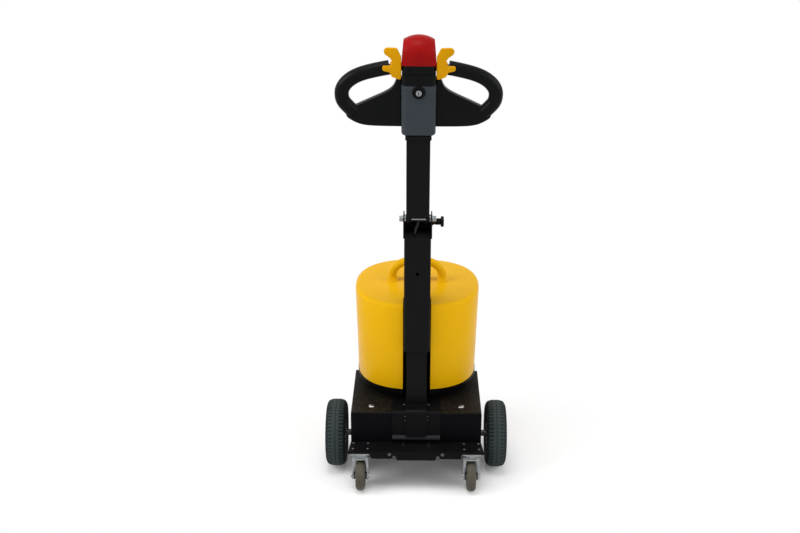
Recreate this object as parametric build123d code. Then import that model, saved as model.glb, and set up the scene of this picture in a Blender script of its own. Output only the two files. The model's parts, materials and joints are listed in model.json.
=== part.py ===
from build123d import *
import os

# Pedestrian electric tow tractor. Millimetres, +Z up, the operator stands on the -Y side.
# Fore and aft places are given from the drive axle, and AXLE_Y then centres the whole machine.

# Fits and clearances
SEAT_GAP = 0.1          # between round pieces of one body
RUN_GAP = 0.05          # radial clearance of a turning shaft
WASHER_GAP = 0.3        # end float between turning faces

# Drive wheels
WHEEL_DIA = 162.0
TYRE_WIDTH = 49.0
WHEEL_GAP = 14.9        # from the hood's side to the tyre
RIM_DIA = 102.0
RIM_WIDTH = 37.0
RIM_WALL = 5.0
RIM_WEB = 8.0
HUB_DIA = 42.0
SHAFT_DIA = 12.0
SHAFT_COLLAR_DIA = 15.0
SHAFT_END = 5.0         # shaft's outer end inside the rim's face
# Tyre's half section: shares of its half width and of the rubber's height
TYRE_OUTLINE = ((0.58, 0.0), (0.76, 0.12), (0.93, 0.27), (1.0, 0.45), (0.985, 0.6), (0.92, 0.74),
                (0.78, 0.87), (0.58, 0.95), (0.3, 1.0))

# Castors
CASTOR_WHEEL_DIA = 72.0
CASTOR_WHEEL_WIDTH = 22.0
CASTOR_TREAD = 9.0
CASTOR_CROWN = 6.0
CASTOR_DISH = 4.0
CASTOR_BOSS_LIP = 2.0
CASTOR_HUB_WIDTH = 31.0
CASTOR_INSET = 23.5     # swivel axis inside the hood's side
CASTOR_EDGE = 1.5       # castor plate to the hood and to the flange's rear edge
CASTOR_TRAIL = 14.0
CASTOR_HEIGHT = 98.0
CASTOR_PLATE = 45.0
CASTOR_PLATE_T = 4.0
CASTOR_RACE_DIA = 40.0
CASTOR_RACE_H = 10.0
KING_PIN_DIA = 10.0
KING_NUT_DIA = 17.0
KING_NUT_H = 3.0
FORK_CROWN_T = 3.5
FORK_CROWN_DIA = 44.0
FORK_LEG_T = 3.0
FORK_BOSS_DIA = 20.0
CASTOR_AXLE_DIA = 8.0
AXLE_NUT_DIA = 14.0
AXLE_NUT_T = 3.5

# Chassis
BASE_T = 6.0
BASE_HALF = 154.0
FLANGE_FLARE = 5.0      # flange's rear corners beyond the hood's sides
HOOD_BACK = 90.0
HOOD_FRONT = 143.0
HOOD_HEIGHT = 78.0
HOOD_T = 2.0
HOOD_BEND = 4.0
LIP_T = 4.0
LIP_DROP = 12.0
CHANNEL_HALF = 46.0
CHANNEL_DEPTH = 18.0
CHANNEL_DROP = 16.0

# Transaxle and motor
CASE_HALF = 65.0
CASE_BACK = 66.0
CASE_FRONT = 26.0
CASE_CLEAR = 44.0       # gear case above the floor
CASE_ROUND = 14.0
AXLE_TUBE_DIA = 28.0
BEARING_DIA = 40.0
BEARING_LENGTH = 14.0
BEARING_INSET = 1.0     # wheel bearing's face inside the base plate's edge
SADDLE_HALF_WIDTH = 17.0
SADDLE_INSET = 36.0
SADDLE_LENGTH = 20.0
MOTOR_DIA = 68.0
MOTOR_GAP = 2.0
MOTOR_END_GAP = 8.0
MOTOR_FOOT = 46.0

# Mast
MAST_BACK = 35.0        # mast centre behind the axle
POST_WIDTH = 48.0
POST_LAP = 93.0         # post inside the sleeve
POST_GAP = 0.3
SLEEVE_WALL = 6.0
SLEEVE_BOTTOM = 327.0
SLEEVE_LENGTH = 279.0
SADDLE_PLATE_HALF = 56.5
SADDLE_PLATE_T = 4.0
SADDLE_PLATE_FRONT = 6.0
SADDLE_PLATE_FOOT = 12.0
SADDLE_LIP = 5.0
STRAP_T = 5.0
STRAP_FOOT = 16.0

# Folding joint
EAR_T = 2.5
EAR_GAP = 4.0
EAR_RISE = 51.0
EAR_ROUND = 18.0
CLEVIS_FLOOR = 3.0
CLEVIS_WEB = 2.5
CLEVIS_WEB_RISE = 18.0
PIVOT_RISE = 37.5       # pivot above the sleeve's top
PIVOT_DIA = 12.0
BUSH_DIA = 14.0
PIVOT_HEAD_DIA = 20.0
PIVOT_HEAD_T = 6.0
LUG_RADIUS = 14.0
LEAN = 8.0              # upper mast towards the operator, degrees
PLUNGER_AHEAD = 20.0
PLUNGER_DROP = 13.0
PLUNGER_NOSE_DIA = 8.0
PLUNGER_BODY_DIA = 13.0
PLUNGER_KNOB_DIA = 22.0
PLUNGER_COLLAR_DIA = 17.0
PLUNGER_COLLAR_T = 4.0
PLUNGER_BARREL = 15.0
PLUNGER_KNOB_T = 6.0
CABLE_DIA = 7.0
CABLE_BACK = 16.0
CABLE_DOWN = 55.0
CABLE_UP = 40.0
CABLE_DRIFT = 12.0
CABLE_SHIFT = -2.0
CABLE_BEND = 30.0

# Upper mast and head, lengths along the upper mast
UPPER_WIDTH = 52.0
UPPER_WALL = 3.0
UPPER_START = 6.0
UPPER_LENGTH = 209.5
COLLAR_WALL = 2.5
COLLAR_DROP = 9.0
HOUSING_LENGTH = 113.0
HOUSING_WIDTH = 74.0
HOUSING_DEPTH = 58.0
HOUSING_ROUND = 13.0
BLOCK_BAND = 24.0       # lower band of the head block
BLOCK_HEIGHT = 43.5
BLOCK_INSET = 1.0       # block's sides inside the housing's
BLOCK_LEDGE = 2.0
BUTTON_HEIGHT = 55.0
BUTTON_SAG = 10.0       # button's shoulders below its crown
BUTTON_LEAN = 4.0       # each side's slope from foot to shoulder
BUTTON_FRONT_ROUND = 38.0
BUTTON_BACK_ROUND = 12.0
KEY_DROP = 13.5
KEY_BEZEL_DIA = 28.0
KEY_BEZEL_T = 4.0
KEY_CORE_DIA = 13.0
KEY_CORE_T = 4.0

# Handle loops, as steps from the upper arm's inner end
GRIP_DIA = 31.0
GRIP_DROP = 11.4        # arm's level below the head block's top
ARM_REACH = 25.5        # arm's inner end from the housing's side
GRIP_KNEE = (76.0, -19.6)
GRIP_ELBOW = (115.0, -54.5)
GRIP_FOOT = (68.5, -100.5)
GRIP_BENDS = (60.0, 30.0)
ARM_SHAFT_DIA = 14.0

# Handle wings, outwards from the housing's side and below the arm's level
WING_T = 20.0
WING_EDGE = 4.0
WING_BEND = 9.0
WING_DEPTH = 127.8
WING_RISE = 21.0
WING_OUTLINE = ((62.0, -127.8), (76.0, -125.5), (89.5, -118.0), (106.0, -109.8), (118.0, -98.5),
                (97.0, -82.5), (32.5, -52.8), (10.0, -34.5))

# Thumb paddles, outwards from their inner edge and above the arm's axis
PADDLE_HUB_DIA = 24.0
PADDLE_T = 5.0
PADDLE_AHEAD = 2.5      # plate in front of the arm
PADDLE_GAP = 1.0
PADDLE_CORNER = 3.0
PADDLE_STEM = 9.0       # half the height of the stem from hub to plate
PADDLE_FOOT = -22.0
PADDLE_HEAD = 30.0
PADDLE_OUTLINE = ((20.0, -14.0), (24.0, -4.5), (39.0, -0.5), (40.0, 6.0), (38.0, 10.0), (20.0, 10.0),
                  (20.0, 21.0), (24.0, 27.5), (35.0, 36.0), (37.0, 45.0), (31.0, 50.0), (9.0, 49.0),
                  (5.0, 41.0))

# Battery drum
DRUM_AHEAD = 102.0
TRAY_HEIGHT = 36.0
TRAY_FLOOR = 5.0
TRAY_RING = 12.0
TRAY_LIP = 2.0          # ring beyond the drum's foot
TRAY_FOOT_RADIUS = 126.0
TRAY_RIM = 10.0
DRUM_FOOT_RADIUS = 142.5
DRUM_TOP_RADIUS = 149.0
DRUM_HEIGHT = 219.0
DRUM_CROWN = 8.0
DRUM_ROUND = 10.0
DRUM_WALL = 3.0
SLOT_SIDE_GAP = 2.2
SLOT_GAP = 5.0
HOOP_HALF = 62.0
HOOP_RISE = 54.0
HOOP_DIA = 14.0
HOOP_BEND = 40.0
HOOP_FOOT_DIA = 24.0
HOOP_FOOT_H = 9.0
BATTERY_HALF = 70.0
BATTERY_LENGTH = 86.0
BATTERY_HEIGHT = 150.0
BATTERY_GAP = 3.0

# Tow hitch, lengths from the hood's front
HITCH_HALF = 30.0
HITCH_PLATE_T = 6.0
HITCH_GAP = 32.0
HITCH_LENGTH = 62.0
PIN_EDGE = 24.0
PIN_HOLE_DIA = 20.0
HITCH_TONGUE = 20.0     # base plate's tongue under the hitch

# Shares of curves
ROUND_INSET = 1 - 0.5 ** 0.5    # a quarter round's middle from its corner
CROWN_MIDWAY = 0.75             # a shallow dome's rise half way out

# Places worked out from the sizes
WHEEL_R = WHEEL_DIA / 2
WHEEL_X = BASE_HALF + WHEEL_GAP + TYRE_WIDTH / 2
CASTOR_R = CASTOR_WHEEL_DIA / 2
CASTOR_X = BASE_HALF - CASTOR_INSET
CASTOR_BACK = HOOD_BACK + CASTOR_EDGE + CASTOR_PLATE / 2
FLANGE_BACK = CASTOR_BACK + CASTOR_PLATE / 2 + CASTOR_EDGE
LIP_HALF = CASTOR_X - CASTOR_PLATE / 2 - CASTOR_EDGE
REAR_REACH = CASTOR_BACK + CASTOR_TRAIL + CASTOR_R
FRONT_REACH = DRUM_AHEAD + DRUM_TOP_RADIUS
AXLE_Y = (REAR_REACH - FRONT_REACH) / 2
AXLE_Z = WHEEL_R
BASE_Z = CASTOR_HEIGHT
DECK_Z = BASE_Z + BASE_T
HOOD_TOP = DECK_Z + HOOD_HEIGHT
BEARING_X = BASE_HALF - BEARING_INSET
MAST_Y = AXLE_Y - MAST_BACK
SLEEVE_WIDTH = POST_WIDTH + 2 * (SLEEVE_WALL + POST_GAP)
SLEEVE_HALF = SLEEVE_WIDTH / 2
SLEEVE_TOP = SLEEVE_BOTTOM + SLEEVE_LENGTH
EAR_HALF = UPPER_WIDTH / 2 + EAR_GAP + EAR_T
PIVOT_Z = SLEEVE_TOP + PIVOT_RISE
HOUSING_TOP = UPPER_LENGTH + HOUSING_LENGTH
BLOCK_WIDTH = HOUSING_WIDTH - 2 * BLOCK_INSET
BLOCK_TOP = HOUSING_TOP + BLOCK_HEIGHT
BUTTON_DEPTH = HOUSING_DEPTH - 2 * BLOCK_LEDGE
GRIP_END = HOUSING_WIDTH / 2 + ARM_REACH
GRIP_HEIGHT = BLOCK_TOP - GRIP_DROP
TRAY_TOP = HOOD_TOP + TRAY_HEIGHT
DRUM_RIM = TRAY_TOP + DRUM_HEIGHT
DRUM_Y = AXLE_Y + DRUM_AHEAD
SLOT_HALF = SLEEVE_HALF + SLOT_SIDE_GAP
SLOT_END = MAST_Y + SLEEVE_HALF + SLOT_GAP
TILLER = Pos(0, MAST_Y, PIVOT_Z) * Rot(LEAN, 0, 0)
CABLE_Y = MAST_Y - CABLE_BACK
CABLE_LOW_X = CABLE_SHIFT - CABLE_DRIFT / 2
SIDES = (("left", -1), ("right", 1))


def block(x0, x1, y0, y1, z0, z1):
    """Box between two corners."""
    size = Box(x1 - x0, y1 - y0, z1 - z0)
    return Pos((x0 + x1) / 2, (y0 + y1) / 2, (z0 + z1) / 2) * size


def rod_x(dia, x0, x1, y, z):
    """Round bar along X."""
    return Pos((x0 + x1) / 2, y, z) * Rot(0, 90, 0) * Cylinder(dia / 2, abs(x1 - x0))


def rod_y(dia, y0, y1, x, z):
    """Round bar along Y."""
    return Pos(x, (y0 + y1) / 2, z) * Rot(90, 0, 0) * Cylinder(dia / 2, y1 - y0)


def rod_z(dia, z0, z1, x, y):
    """Round bar along Z."""
    return Pos(x, y, (z0 + z1) / 2) * Cylinder(dia / 2, z1 - z0)


def turned(points, x, y, z):
    """Ring turned about an X axis, from (along, radius) points."""
    profile = make_face(Polyline(*points, close=True))
    return Pos(x, y, z) * revolve(profile, Axis.X)


def save(name, shape):
    export_step(shape, f"parts/{name}.step")


def make_base_plate():
    y_back = AXLE_Y - FLANGE_BACK
    y_wide = AXLE_Y - HOOD_BACK
    y_front = AXLE_Y + HOOD_FRONT
    y_nose = y_front + HITCH_TONGUE
    right = [(BASE_HALF + FLANGE_FLARE, y_back), (BASE_HALF, y_wide), (BASE_HALF, y_front)]
    right += [(HITCH_HALF, y_front), (HITCH_HALF, y_nose)]
    outline = right + [(-x, y) for x, y in reversed(right)]
    plate = Pos(0, 0, BASE_Z) * extrude(make_face(Polyline(*outline, close=True)), BASE_T)
    lip = block(-LIP_HALF, LIP_HALF, y_back, y_back + LIP_T, BASE_Z - LIP_DROP, BASE_Z)
    channel = block(-CHANNEL_HALF, CHANNEL_HALF, y_back, y_back + CHANNEL_DEPTH,
                    BASE_Z - CHANNEL_DROP, BASE_Z)
    return plate + lip + channel


def make_hood():
    shell = block(-BASE_HALF, BASE_HALF, AXLE_Y - HOOD_BACK, AXLE_Y + HOOD_FRONT, DECK_Z, HOOD_TOP)
    shell = fillet(shell.faces().sort_by(Axis.Z)[-1].edges(), HOOD_BEND)
    inside = block(-BASE_HALF + HOOD_T, BASE_HALF - HOOD_T, AXLE_Y - HOOD_BACK + HOOD_T,
                   AXLE_Y + HOOD_FRONT - HOOD_T, DECK_Z - HOOD_T, HOOD_TOP - HOOD_T)
    inside = fillet(inside.faces().sort_by(Axis.Z)[-1].edges(), HOOD_BEND - HOOD_T)
    post = POST_WIDTH / 2 + POST_GAP
    passage = block(-post, post, MAST_Y - post, MAST_Y + post, DECK_Z, HOOD_TOP + HOOD_T)
    return shell - inside - passage


def bent_plate(half, y_back, y_front, foot, top, bend, thick):
    """Plate bent over the hood's rear edge: down its back and along its top."""
    outer = block(-half, half, y_back - thick, y_front, foot, top + thick)
    outer = fillet(outer.edges().filter_by(Axis.X).group_by(Axis.Y)[0].sort_by(Axis.Z)[-1], bend + thick)
    inner = block(-half, half, y_back, y_front, foot, top)
    inner = fillet(inner.edges().filter_by(Axis.X).group_by(Axis.Y)[0].sort_by(Axis.Z)[-1], bend)
    return outer - inner


def make_saddle_plate():
    y_back = AXLE_Y - HOOD_BACK
    foot = DECK_Z + SADDLE_PLATE_FOOT
    plate = bent_plate(SADDLE_PLATE_HALF, y_back, AXLE_Y + SADDLE_PLATE_FRONT, foot, HOOD_TOP, HOOD_BEND,
                       SADDLE_PLATE_T)
    plate += block(-SADDLE_PLATE_HALF, SADDLE_PLATE_HALF, y_back - SADDLE_PLATE_T - SADDLE_LIP, y_back, foot,
                   foot + SADDLE_PLATE_T)
    post = POST_WIDTH / 2 + POST_GAP
    return plate - block(-post, post, MAST_Y - post, MAST_Y + post, HOOD_TOP, HOOD_TOP + SADDLE_PLATE_T)


def make_mast_strap():
    y_back = AXLE_Y - HOOD_BACK - SADDLE_PLATE_T
    return bent_plate(POST_WIDTH / 2, y_back, MAST_Y - POST_WIDTH / 2, DECK_Z + STRAP_FOOT + SADDLE_PLATE_T,
                      HOOD_TOP + SADDLE_PLATE_T, HOOD_BEND + SADDLE_PLATE_T, STRAP_T)


def make_mast_post():
    half = POST_WIDTH / 2
    inner = half - SLEEVE_WALL
    post = block(-half, half, MAST_Y - half, MAST_Y + half, DECK_Z, SLEEVE_BOTTOM + POST_LAP)
    return post - block(-inner, inner, MAST_Y - inner, MAST_Y + inner, DECK_Z, SLEEVE_BOTTOM + POST_LAP)


def make_lower_mast():
    inner = SLEEVE_HALF - SLEEVE_WALL
    tube = block(-SLEEVE_HALF, SLEEVE_HALF, MAST_Y - SLEEVE_HALF, MAST_Y + SLEEVE_HALF,
                 SLEEVE_BOTTOM, SLEEVE_TOP)
    tube = fillet(tube.edges().filter_by(Axis.Z), SLEEVE_WALL)
    return tube - block(-inner, inner, MAST_Y - inner, MAST_Y + inner, SLEEVE_BOTTOM, SLEEVE_TOP)


def make_mast_clevis():
    y_back, y_front = MAST_Y - SLEEVE_HALF, MAST_Y + SLEEVE_HALF
    floor, top = SLEEVE_TOP + CLEVIS_FLOOR, SLEEVE_TOP + EAR_RISE
    body = block(-EAR_HALF, EAR_HALF, y_back, y_front, SLEEVE_TOP, top)
    body = fillet(body.edges().filter_by(Axis.X).group_by(Axis.Z)[-1], EAR_ROUND)
    room = EAR_HALF - EAR_T
    body -= block(-room, room, y_back, y_front - CLEVIS_WEB, floor, top)
    body -= block(-room, room, y_front - CLEVIS_WEB, y_front, SLEEVE_TOP + CLEVIS_WEB_RISE, top)
    body -= rod_x(PIVOT_DIA + 2 * RUN_GAP, -EAR_HALF, EAR_HALF, MAST_Y, PIVOT_Z)
    body -= rod_x(PLUNGER_NOSE_DIA + 2 * SEAT_GAP, room, EAR_HALF, MAST_Y + PLUNGER_AHEAD,
                  PIVOT_Z - PLUNGER_DROP)
    return body - rod_z(CABLE_DIA + 2 * WASHER_GAP, SLEEVE_TOP, floor, CABLE_LOW_X, CABLE_Y)


def make_pivot_bolt():
    room = UPPER_WIDTH / 2 - UPPER_WALL - WASHER_GAP
    shank = rod_x(PIVOT_DIA, -EAR_HALF, EAR_HALF, MAST_Y, PIVOT_Z)
    bush = rod_x(BUSH_DIA, -room, room, MAST_Y, PIVOT_Z)
    ends = Part()
    for _, side in SIDES:
        ends += rod_x(PIVOT_HEAD_DIA, side * EAR_HALF, side * (EAR_HALF + PIVOT_HEAD_T), MAST_Y, PIVOT_Z)
    return shank + bush + ends


def make_index_plunger():
    start = EAR_HALF + PLUNGER_COLLAR_T
    knob = start + PLUNGER_BARREL
    y = MAST_Y + PLUNGER_AHEAD
    z = PIVOT_Z - PLUNGER_DROP
    nose = rod_x(PLUNGER_NOSE_DIA, EAR_HALF - EAR_T, knob, y, z)
    hexagon = Plane((EAR_HALF, y, z), z_dir=(1, 0, 0)) * RegularPolygon(PLUNGER_COLLAR_DIA / 2, 6)
    body = nose + extrude(hexagon, PLUNGER_COLLAR_T) + rod_x(PLUNGER_BODY_DIA, start, knob, y, z)
    return body + rod_x(PLUNGER_KNOB_DIA, knob, knob + PLUNGER_KNOB_T, y, z)


def make_control_cable():
    low = (CABLE_LOW_X, CABLE_Y, PIVOT_Z - CABLE_DOWN)
    floor = (CABLE_LOW_X, CABLE_Y, SLEEVE_TOP + CLEVIS_FLOOR + CABLE_DIA)
    high = (CABLE_LOW_X + CABLE_DRIFT, CABLE_Y, PIVOT_Z + CABLE_UP)
    knee = (CABLE_LOW_X + CABLE_DRIFT, CABLE_Y, PIVOT_Z)
    path = FilletPolyline(low, floor, knee, high, radius=CABLE_BEND)
    return sweep(Plane(low, z_dir=(0, 0, 1)) * Circle(CABLE_DIA / 2), path)


def make_upper_mast():
    half = UPPER_WIDTH / 2
    inner = half - UPPER_WALL
    edge = half + COLLAR_WALL
    tube = block(-half, half, -half, half, UPPER_START, UPPER_LENGTH)
    tube += block(-edge, edge, -edge, edge, UPPER_LENGTH - COLLAR_DROP, UPPER_LENGTH)
    tube = fillet(tube.edges().filter_by(Axis.Z), UPPER_WALL)
    tube -= block(-inner, inner, -inner, inner, UPPER_START, UPPER_LENGTH)
    for _, side in SIDES:
        low, high = sorted((side * inner, side * half))
        tube += rod_x(2 * LUG_RADIUS, low, high, 0, 0)
        tube += block(low, high, -LUG_RADIUS, LUG_RADIUS, 0, UPPER_START + UPPER_WALL)
    return TILLER * (tube - rod_x(PIVOT_DIA + 2 * RUN_GAP, -half, half, 0, 0))


def make_neck_housing():
    top = Plane((0, 0, HOUSING_TOP), z_dir=(0, 0, -1))
    body = extrude(top * RectangleRounded(HOUSING_WIDTH, HOUSING_DEPTH, HOUSING_ROUND), HOUSING_LENGTH)
    return TILLER * fillet(body.faces().sort_by(Axis.Z)[0].edges(), HOUSING_ROUND / 2)


def make_head_block():
    lower = RectangleRounded(BLOCK_WIDTH, HOUSING_DEPTH, HOUSING_ROUND)
    upper = RectangleRounded(BLOCK_WIDTH - BLOCK_LEDGE, HOUSING_DEPTH - 2 * BLOCK_LEDGE,
                             HOUSING_ROUND - BLOCK_LEDGE)
    body = Pos(0, 0, HOUSING_TOP) * extrude(lower, BLOCK_BAND)
    body += Pos(0, 0, HOUSING_TOP + BLOCK_BAND) * extrude(upper, BLOCK_HEIGHT - BLOCK_BAND)
    return TILLER * (body + rod_x(ARM_SHAFT_DIA, -GRIP_END, GRIP_END, 0, GRIP_HEIGHT))


def make_belly_button():
    foot = HOUSING_WIDTH / 2
    neck = foot - BUTTON_LEAN
    crown = BLOCK_TOP + BUTTON_HEIGHT
    shoulder = crown - BUTTON_SAG
    with BuildSketch(Plane.XZ) as outline:
        with BuildLine():
            Polyline((-neck, shoulder), (-foot, BLOCK_TOP), (foot, BLOCK_TOP), (neck, shoulder))
            ThreePointArc((neck, shoulder), (0, crown), (-neck, shoulder))
        make_face()
    body = extrude(outline.sketch, BUTTON_DEPTH / 2, both=True)
    body = fillet(body.edges().filter_by(GeomType.CIRCLE).sort_by(Axis.Y)[0], BUTTON_FRONT_ROUND)
    return TILLER * fillet(body.edges().filter_by(GeomType.CIRCLE).sort_by(Axis.Y)[-1], BUTTON_BACK_ROUND)


def make_handle(side):
    inside = HOUSING_WIDTH / 2
    steps = [(GRIP_END + out, GRIP_HEIGHT + up) for out, up in (GRIP_KNEE, GRIP_ELBOW, GRIP_FOOT)]
    start = (inside, GRIP_HEIGHT - ARM_REACH * GRIP_KNEE[1] / GRIP_KNEE[0])
    path = FilletPolyline(start, *steps, radius=GRIP_BENDS)
    loop = sweep(Plane(start, z_dir=GRIP_KNEE) * Circle(GRIP_DIA / 2), path)
    loop -= Pos(GRIP_END - GRIP_DIA, GRIP_HEIGHT, 0) * Box(2 * GRIP_DIA, 3 * GRIP_DIA, 2 * GRIP_DIA)
    rim = [(inside + out, GRIP_HEIGHT + up) for out, up in WING_OUTLINE]
    rim = [(inside, GRIP_HEIGHT - WING_DEPTH), *rim, (inside, GRIP_HEIGHT - WING_RISE)]
    wing = make_face(Polyline(*rim, close=True))
    wing = fillet(wing.vertices().sort_by(Axis.X)[2:], WING_BEND)
    wing = Pos(0, 0, -WING_T / 2) * extrude(wing, WING_T)
    face_edges = wing.edges().filter_by(lambda e: abs(e.center().Z) > WING_T / 4)
    wing = fillet(face_edges.filter_by(lambda e: e.center().X > inside + WING_EDGE), WING_EDGE)
    body = Plane((0, 0, 0), x_dir=(1, 0, 0), z_dir=(0, -1, 0)) * (loop + wing)
    if side < 0:
        body = mirror(body, Plane.YZ)
    return TILLER * body


def make_paddle(side):
    inner, outer = BLOCK_WIDTH / 2 + PADDLE_GAP, GRIP_END - PADDLE_GAP
    rim = [(inner, PADDLE_FOOT), *((inner + out, up) for out, up in PADDLE_OUTLINE), (inner, PADDLE_HEAD)]
    outline = make_face(Polyline(*rim, close=True))
    outline = fillet(outline.vertices().sort_by(Axis.X)[2:], PADDLE_CORNER)
    back = -GRIP_DIA / 2 - PADDLE_AHEAD
    body = Plane((0, back, 0), x_dir=(1, 0, 0), z_dir=(0, -1, 0)) * extrude(outline, PADDLE_T)
    body += rod_x(PADDLE_HUB_DIA, inner, outer, 0, 0)
    body += block(inner, outer, back - PADDLE_T / 2, 0, -PADDLE_STEM, PADDLE_STEM)
    body -= rod_x(ARM_SHAFT_DIA + 2 * SEAT_GAP, inner, outer, 0, 0)
    if side < 0:
        body = mirror(body, Plane.YZ)
    return TILLER * Pos(0, 0, GRIP_HEIGHT) * body


def make_key_switch():
    y = -HOUSING_DEPTH / 2
    bezel = rod_y(KEY_BEZEL_DIA, y - KEY_BEZEL_T, y, 0, HOUSING_TOP - KEY_DROP)
    core = rod_y(KEY_CORE_DIA, y - KEY_BEZEL_T - KEY_CORE_T, y - KEY_BEZEL_T, 0, HOUSING_TOP - KEY_DROP)
    return TILLER * (bezel + core)


def drum_body(foot, top, base, rim, crown, edge):
    """Tapered drum with a domed top, turned about its own axis."""
    with BuildSketch(Plane.XZ) as profile:
        with BuildLine():
            Polyline((0, base), (foot, base), (top, rim - edge))
            inset = edge * ROUND_INSET
            ThreePointArc((top, rim - edge), (top - inset, rim - inset), (top - edge, rim))
            ThreePointArc((top - edge, rim), ((top - edge) / 2, rim + crown * CROWN_MIDWAY), (0, rim + crown))
            Line((0, rim + crown), (0, base))
        make_face()
    return Pos(0, DRUM_Y, 0) * revolve(profile.sketch, Axis.Z)


def mast_slot(spare):
    """Slot at the back of the drum that the mast stands in."""
    y_back = DRUM_Y - 2 * DRUM_TOP_RADIUS
    return block(-SLOT_HALF - spare, SLOT_HALF + spare, y_back, SLOT_END + spare, 0, 2 * DRUM_RIM)


def make_drum_cover():
    outer = drum_body(DRUM_FOOT_RADIUS, DRUM_TOP_RADIUS, TRAY_TOP, DRUM_RIM, DRUM_CROWN, DRUM_ROUND)
    inner = drum_body(DRUM_FOOT_RADIUS - DRUM_WALL, DRUM_TOP_RADIUS - DRUM_WALL, TRAY_TOP - DRUM_WALL,
                      DRUM_RIM - DRUM_WALL, DRUM_CROWN, DRUM_ROUND)
    return outer - mast_slot(0) - (inner - mast_slot(DRUM_WALL))


def make_lifting_hoop():
    low, top = DRUM_RIM - DRUM_CROWN, DRUM_RIM + HOOP_RISE
    path = FilletPolyline((-HOOP_HALF, DRUM_Y, low), (-HOOP_HALF, DRUM_Y, top),
                          (HOOP_HALF, DRUM_Y, top), (HOOP_HALF, DRUM_Y, low), radius=HOOP_BEND)
    start = Plane((-HOOP_HALF, DRUM_Y, low), z_dir=(0, 0, 1))
    hoop = sweep(start * Circle(HOOP_DIA / 2), path)
    rise = DRUM_RIM + HOOP_FOOT_H - low
    for _, side in SIDES:
        hoop += Pos(side * HOOP_HALF, DRUM_Y, low + rise / 2) * Cone(HOOP_FOOT_DIA / 2, HOOP_DIA / 2, rise)
    return hoop - drum_body(DRUM_FOOT_RADIUS, DRUM_TOP_RADIUS, TRAY_TOP, DRUM_RIM, DRUM_CROWN, DRUM_ROUND)


def make_drum_tray():
    ring = DRUM_FOOT_RADIUS + TRAY_LIP
    body = rod_z(2 * TRAY_FOOT_RADIUS, HOOD_TOP, TRAY_TOP - TRAY_RING, 0, DRUM_Y)
    body += rod_z(2 * ring, TRAY_TOP - TRAY_RING, TRAY_TOP, 0, DRUM_Y)
    hollow = rod_z(2 * (TRAY_FOOT_RADIUS - TRAY_RIM), HOOD_TOP + TRAY_FLOOR, TRAY_TOP, 0, DRUM_Y)
    plate_half = SADDLE_PLATE_HALF + WASHER_GAP
    saddle_room = block(-plate_half, plate_half, DRUM_Y - DRUM_TOP_RADIUS,
                        AXLE_Y + SADDLE_PLATE_FRONT + WASHER_GAP, HOOD_TOP, HOOD_TOP + SADDLE_PLATE_T)
    return body - (hollow - mast_slot(TRAY_RIM)) - mast_slot(0) - saddle_room


def make_battery_block():
    y0 = SLOT_END + TRAY_RIM + BATTERY_GAP
    z0 = HOOD_TOP + TRAY_FLOOR
    return block(-BATTERY_HALF, BATTERY_HALF, y0, y0 + BATTERY_LENGTH, z0, z0 + BATTERY_HEIGHT)


def make_transaxle():
    body = block(-CASE_HALF, CASE_HALF, AXLE_Y - CASE_BACK, AXLE_Y + CASE_FRONT, CASE_CLEAR, BASE_Z)
    body = fillet(body.faces().sort_by(Axis.Z)[0].edges(), CASE_ROUND)
    for _, side in SIDES:
        body += rod_x(AXLE_TUBE_DIA, side * (CASE_HALF - CASE_ROUND), side * BEARING_X, AXLE_Y, AXLE_Z)
        body += rod_x(BEARING_DIA, side * (BEARING_X - BEARING_LENGTH), side * BEARING_X, AXLE_Y, AXLE_Z)
        saddle = BASE_HALF - SADDLE_INSET
        x0, x1 = sorted((side * saddle, side * (saddle - SADDLE_LENGTH)))
        body += block(x0, x1, AXLE_Y - SADDLE_HALF_WIDTH, AXLE_Y + SADDLE_HALF_WIDTH, AXLE_Z, BASE_Z)
        body -= rod_x(SHAFT_DIA + 2 * RUN_GAP, side * CASE_HALF, side * BEARING_X, AXLE_Y, AXLE_Z)
    trim = block(-BEARING_X, BEARING_X, AXLE_Y - BEARING_DIA, AXLE_Y + BEARING_DIA, BASE_Z,
                 BASE_Z + BEARING_DIA)
    return body - trim


def make_drive_motor():
    z = DECK_Z + MOTOR_DIA / 2
    y = AXLE_Y - HOOD_BACK + HOOD_T + MOTOR_GAP + MOTOR_DIA / 2
    x0, x1 = POST_WIDTH / 2 + MOTOR_END_GAP, BASE_HALF - HOOD_T - MOTOR_END_GAP
    quarter = (x1 - x0) / 4
    foot = block(x0 + quarter, x1 - quarter, y - MOTOR_FOOT / 2, y + MOTOR_FOOT / 2, DECK_Z, z)
    return rod_x(MOTOR_DIA, x0, x1, y, z) + foot


def make_half_shaft(side):
    rim_face = WHEEL_X - RIM_WIDTH / 2
    tip = rim_face + RIM_WIDTH - SHAFT_END
    shaft = rod_x(SHAFT_DIA, side * (CASE_HALF + WASHER_GAP), side * tip, AXLE_Y, AXLE_Z)
    return shaft + rod_x(SHAFT_COLLAR_DIA, side * (BEARING_X + WASHER_GAP), side * rim_face, AXLE_Y, AXLE_Z)


def make_rim(side):
    r = RIM_DIA / 2
    w = RIM_WIDTH / 2
    bore = SHAFT_DIA / 2 + RUN_GAP
    hub = HUB_DIA / 2
    web = RIM_WEB / 2
    half = [(w, bore), (w, hub), (web, hub), (web, r - RIM_WALL), (w, r - RIM_WALL), (w, r)]
    points = half + [(-a, b) for a, b in reversed(half)]
    return turned(points, side * WHEEL_X, AXLE_Y, AXLE_Z)


def make_tyre(side):
    r_in = RIM_DIA / 2 + SEAT_GAP
    w = TYRE_WIDTH / 2
    half = [(share * w, r_in + rise * (WHEEL_R - r_in)) for share, rise in TYRE_OUTLINE]
    points = half + [(-a, b) for a, b in reversed(half)]
    return turned(points, side * WHEEL_X, AXLE_Y, AXLE_Z)


def castor_place(side):
    return side * CASTOR_X, AXLE_Y - CASTOR_BACK


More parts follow.
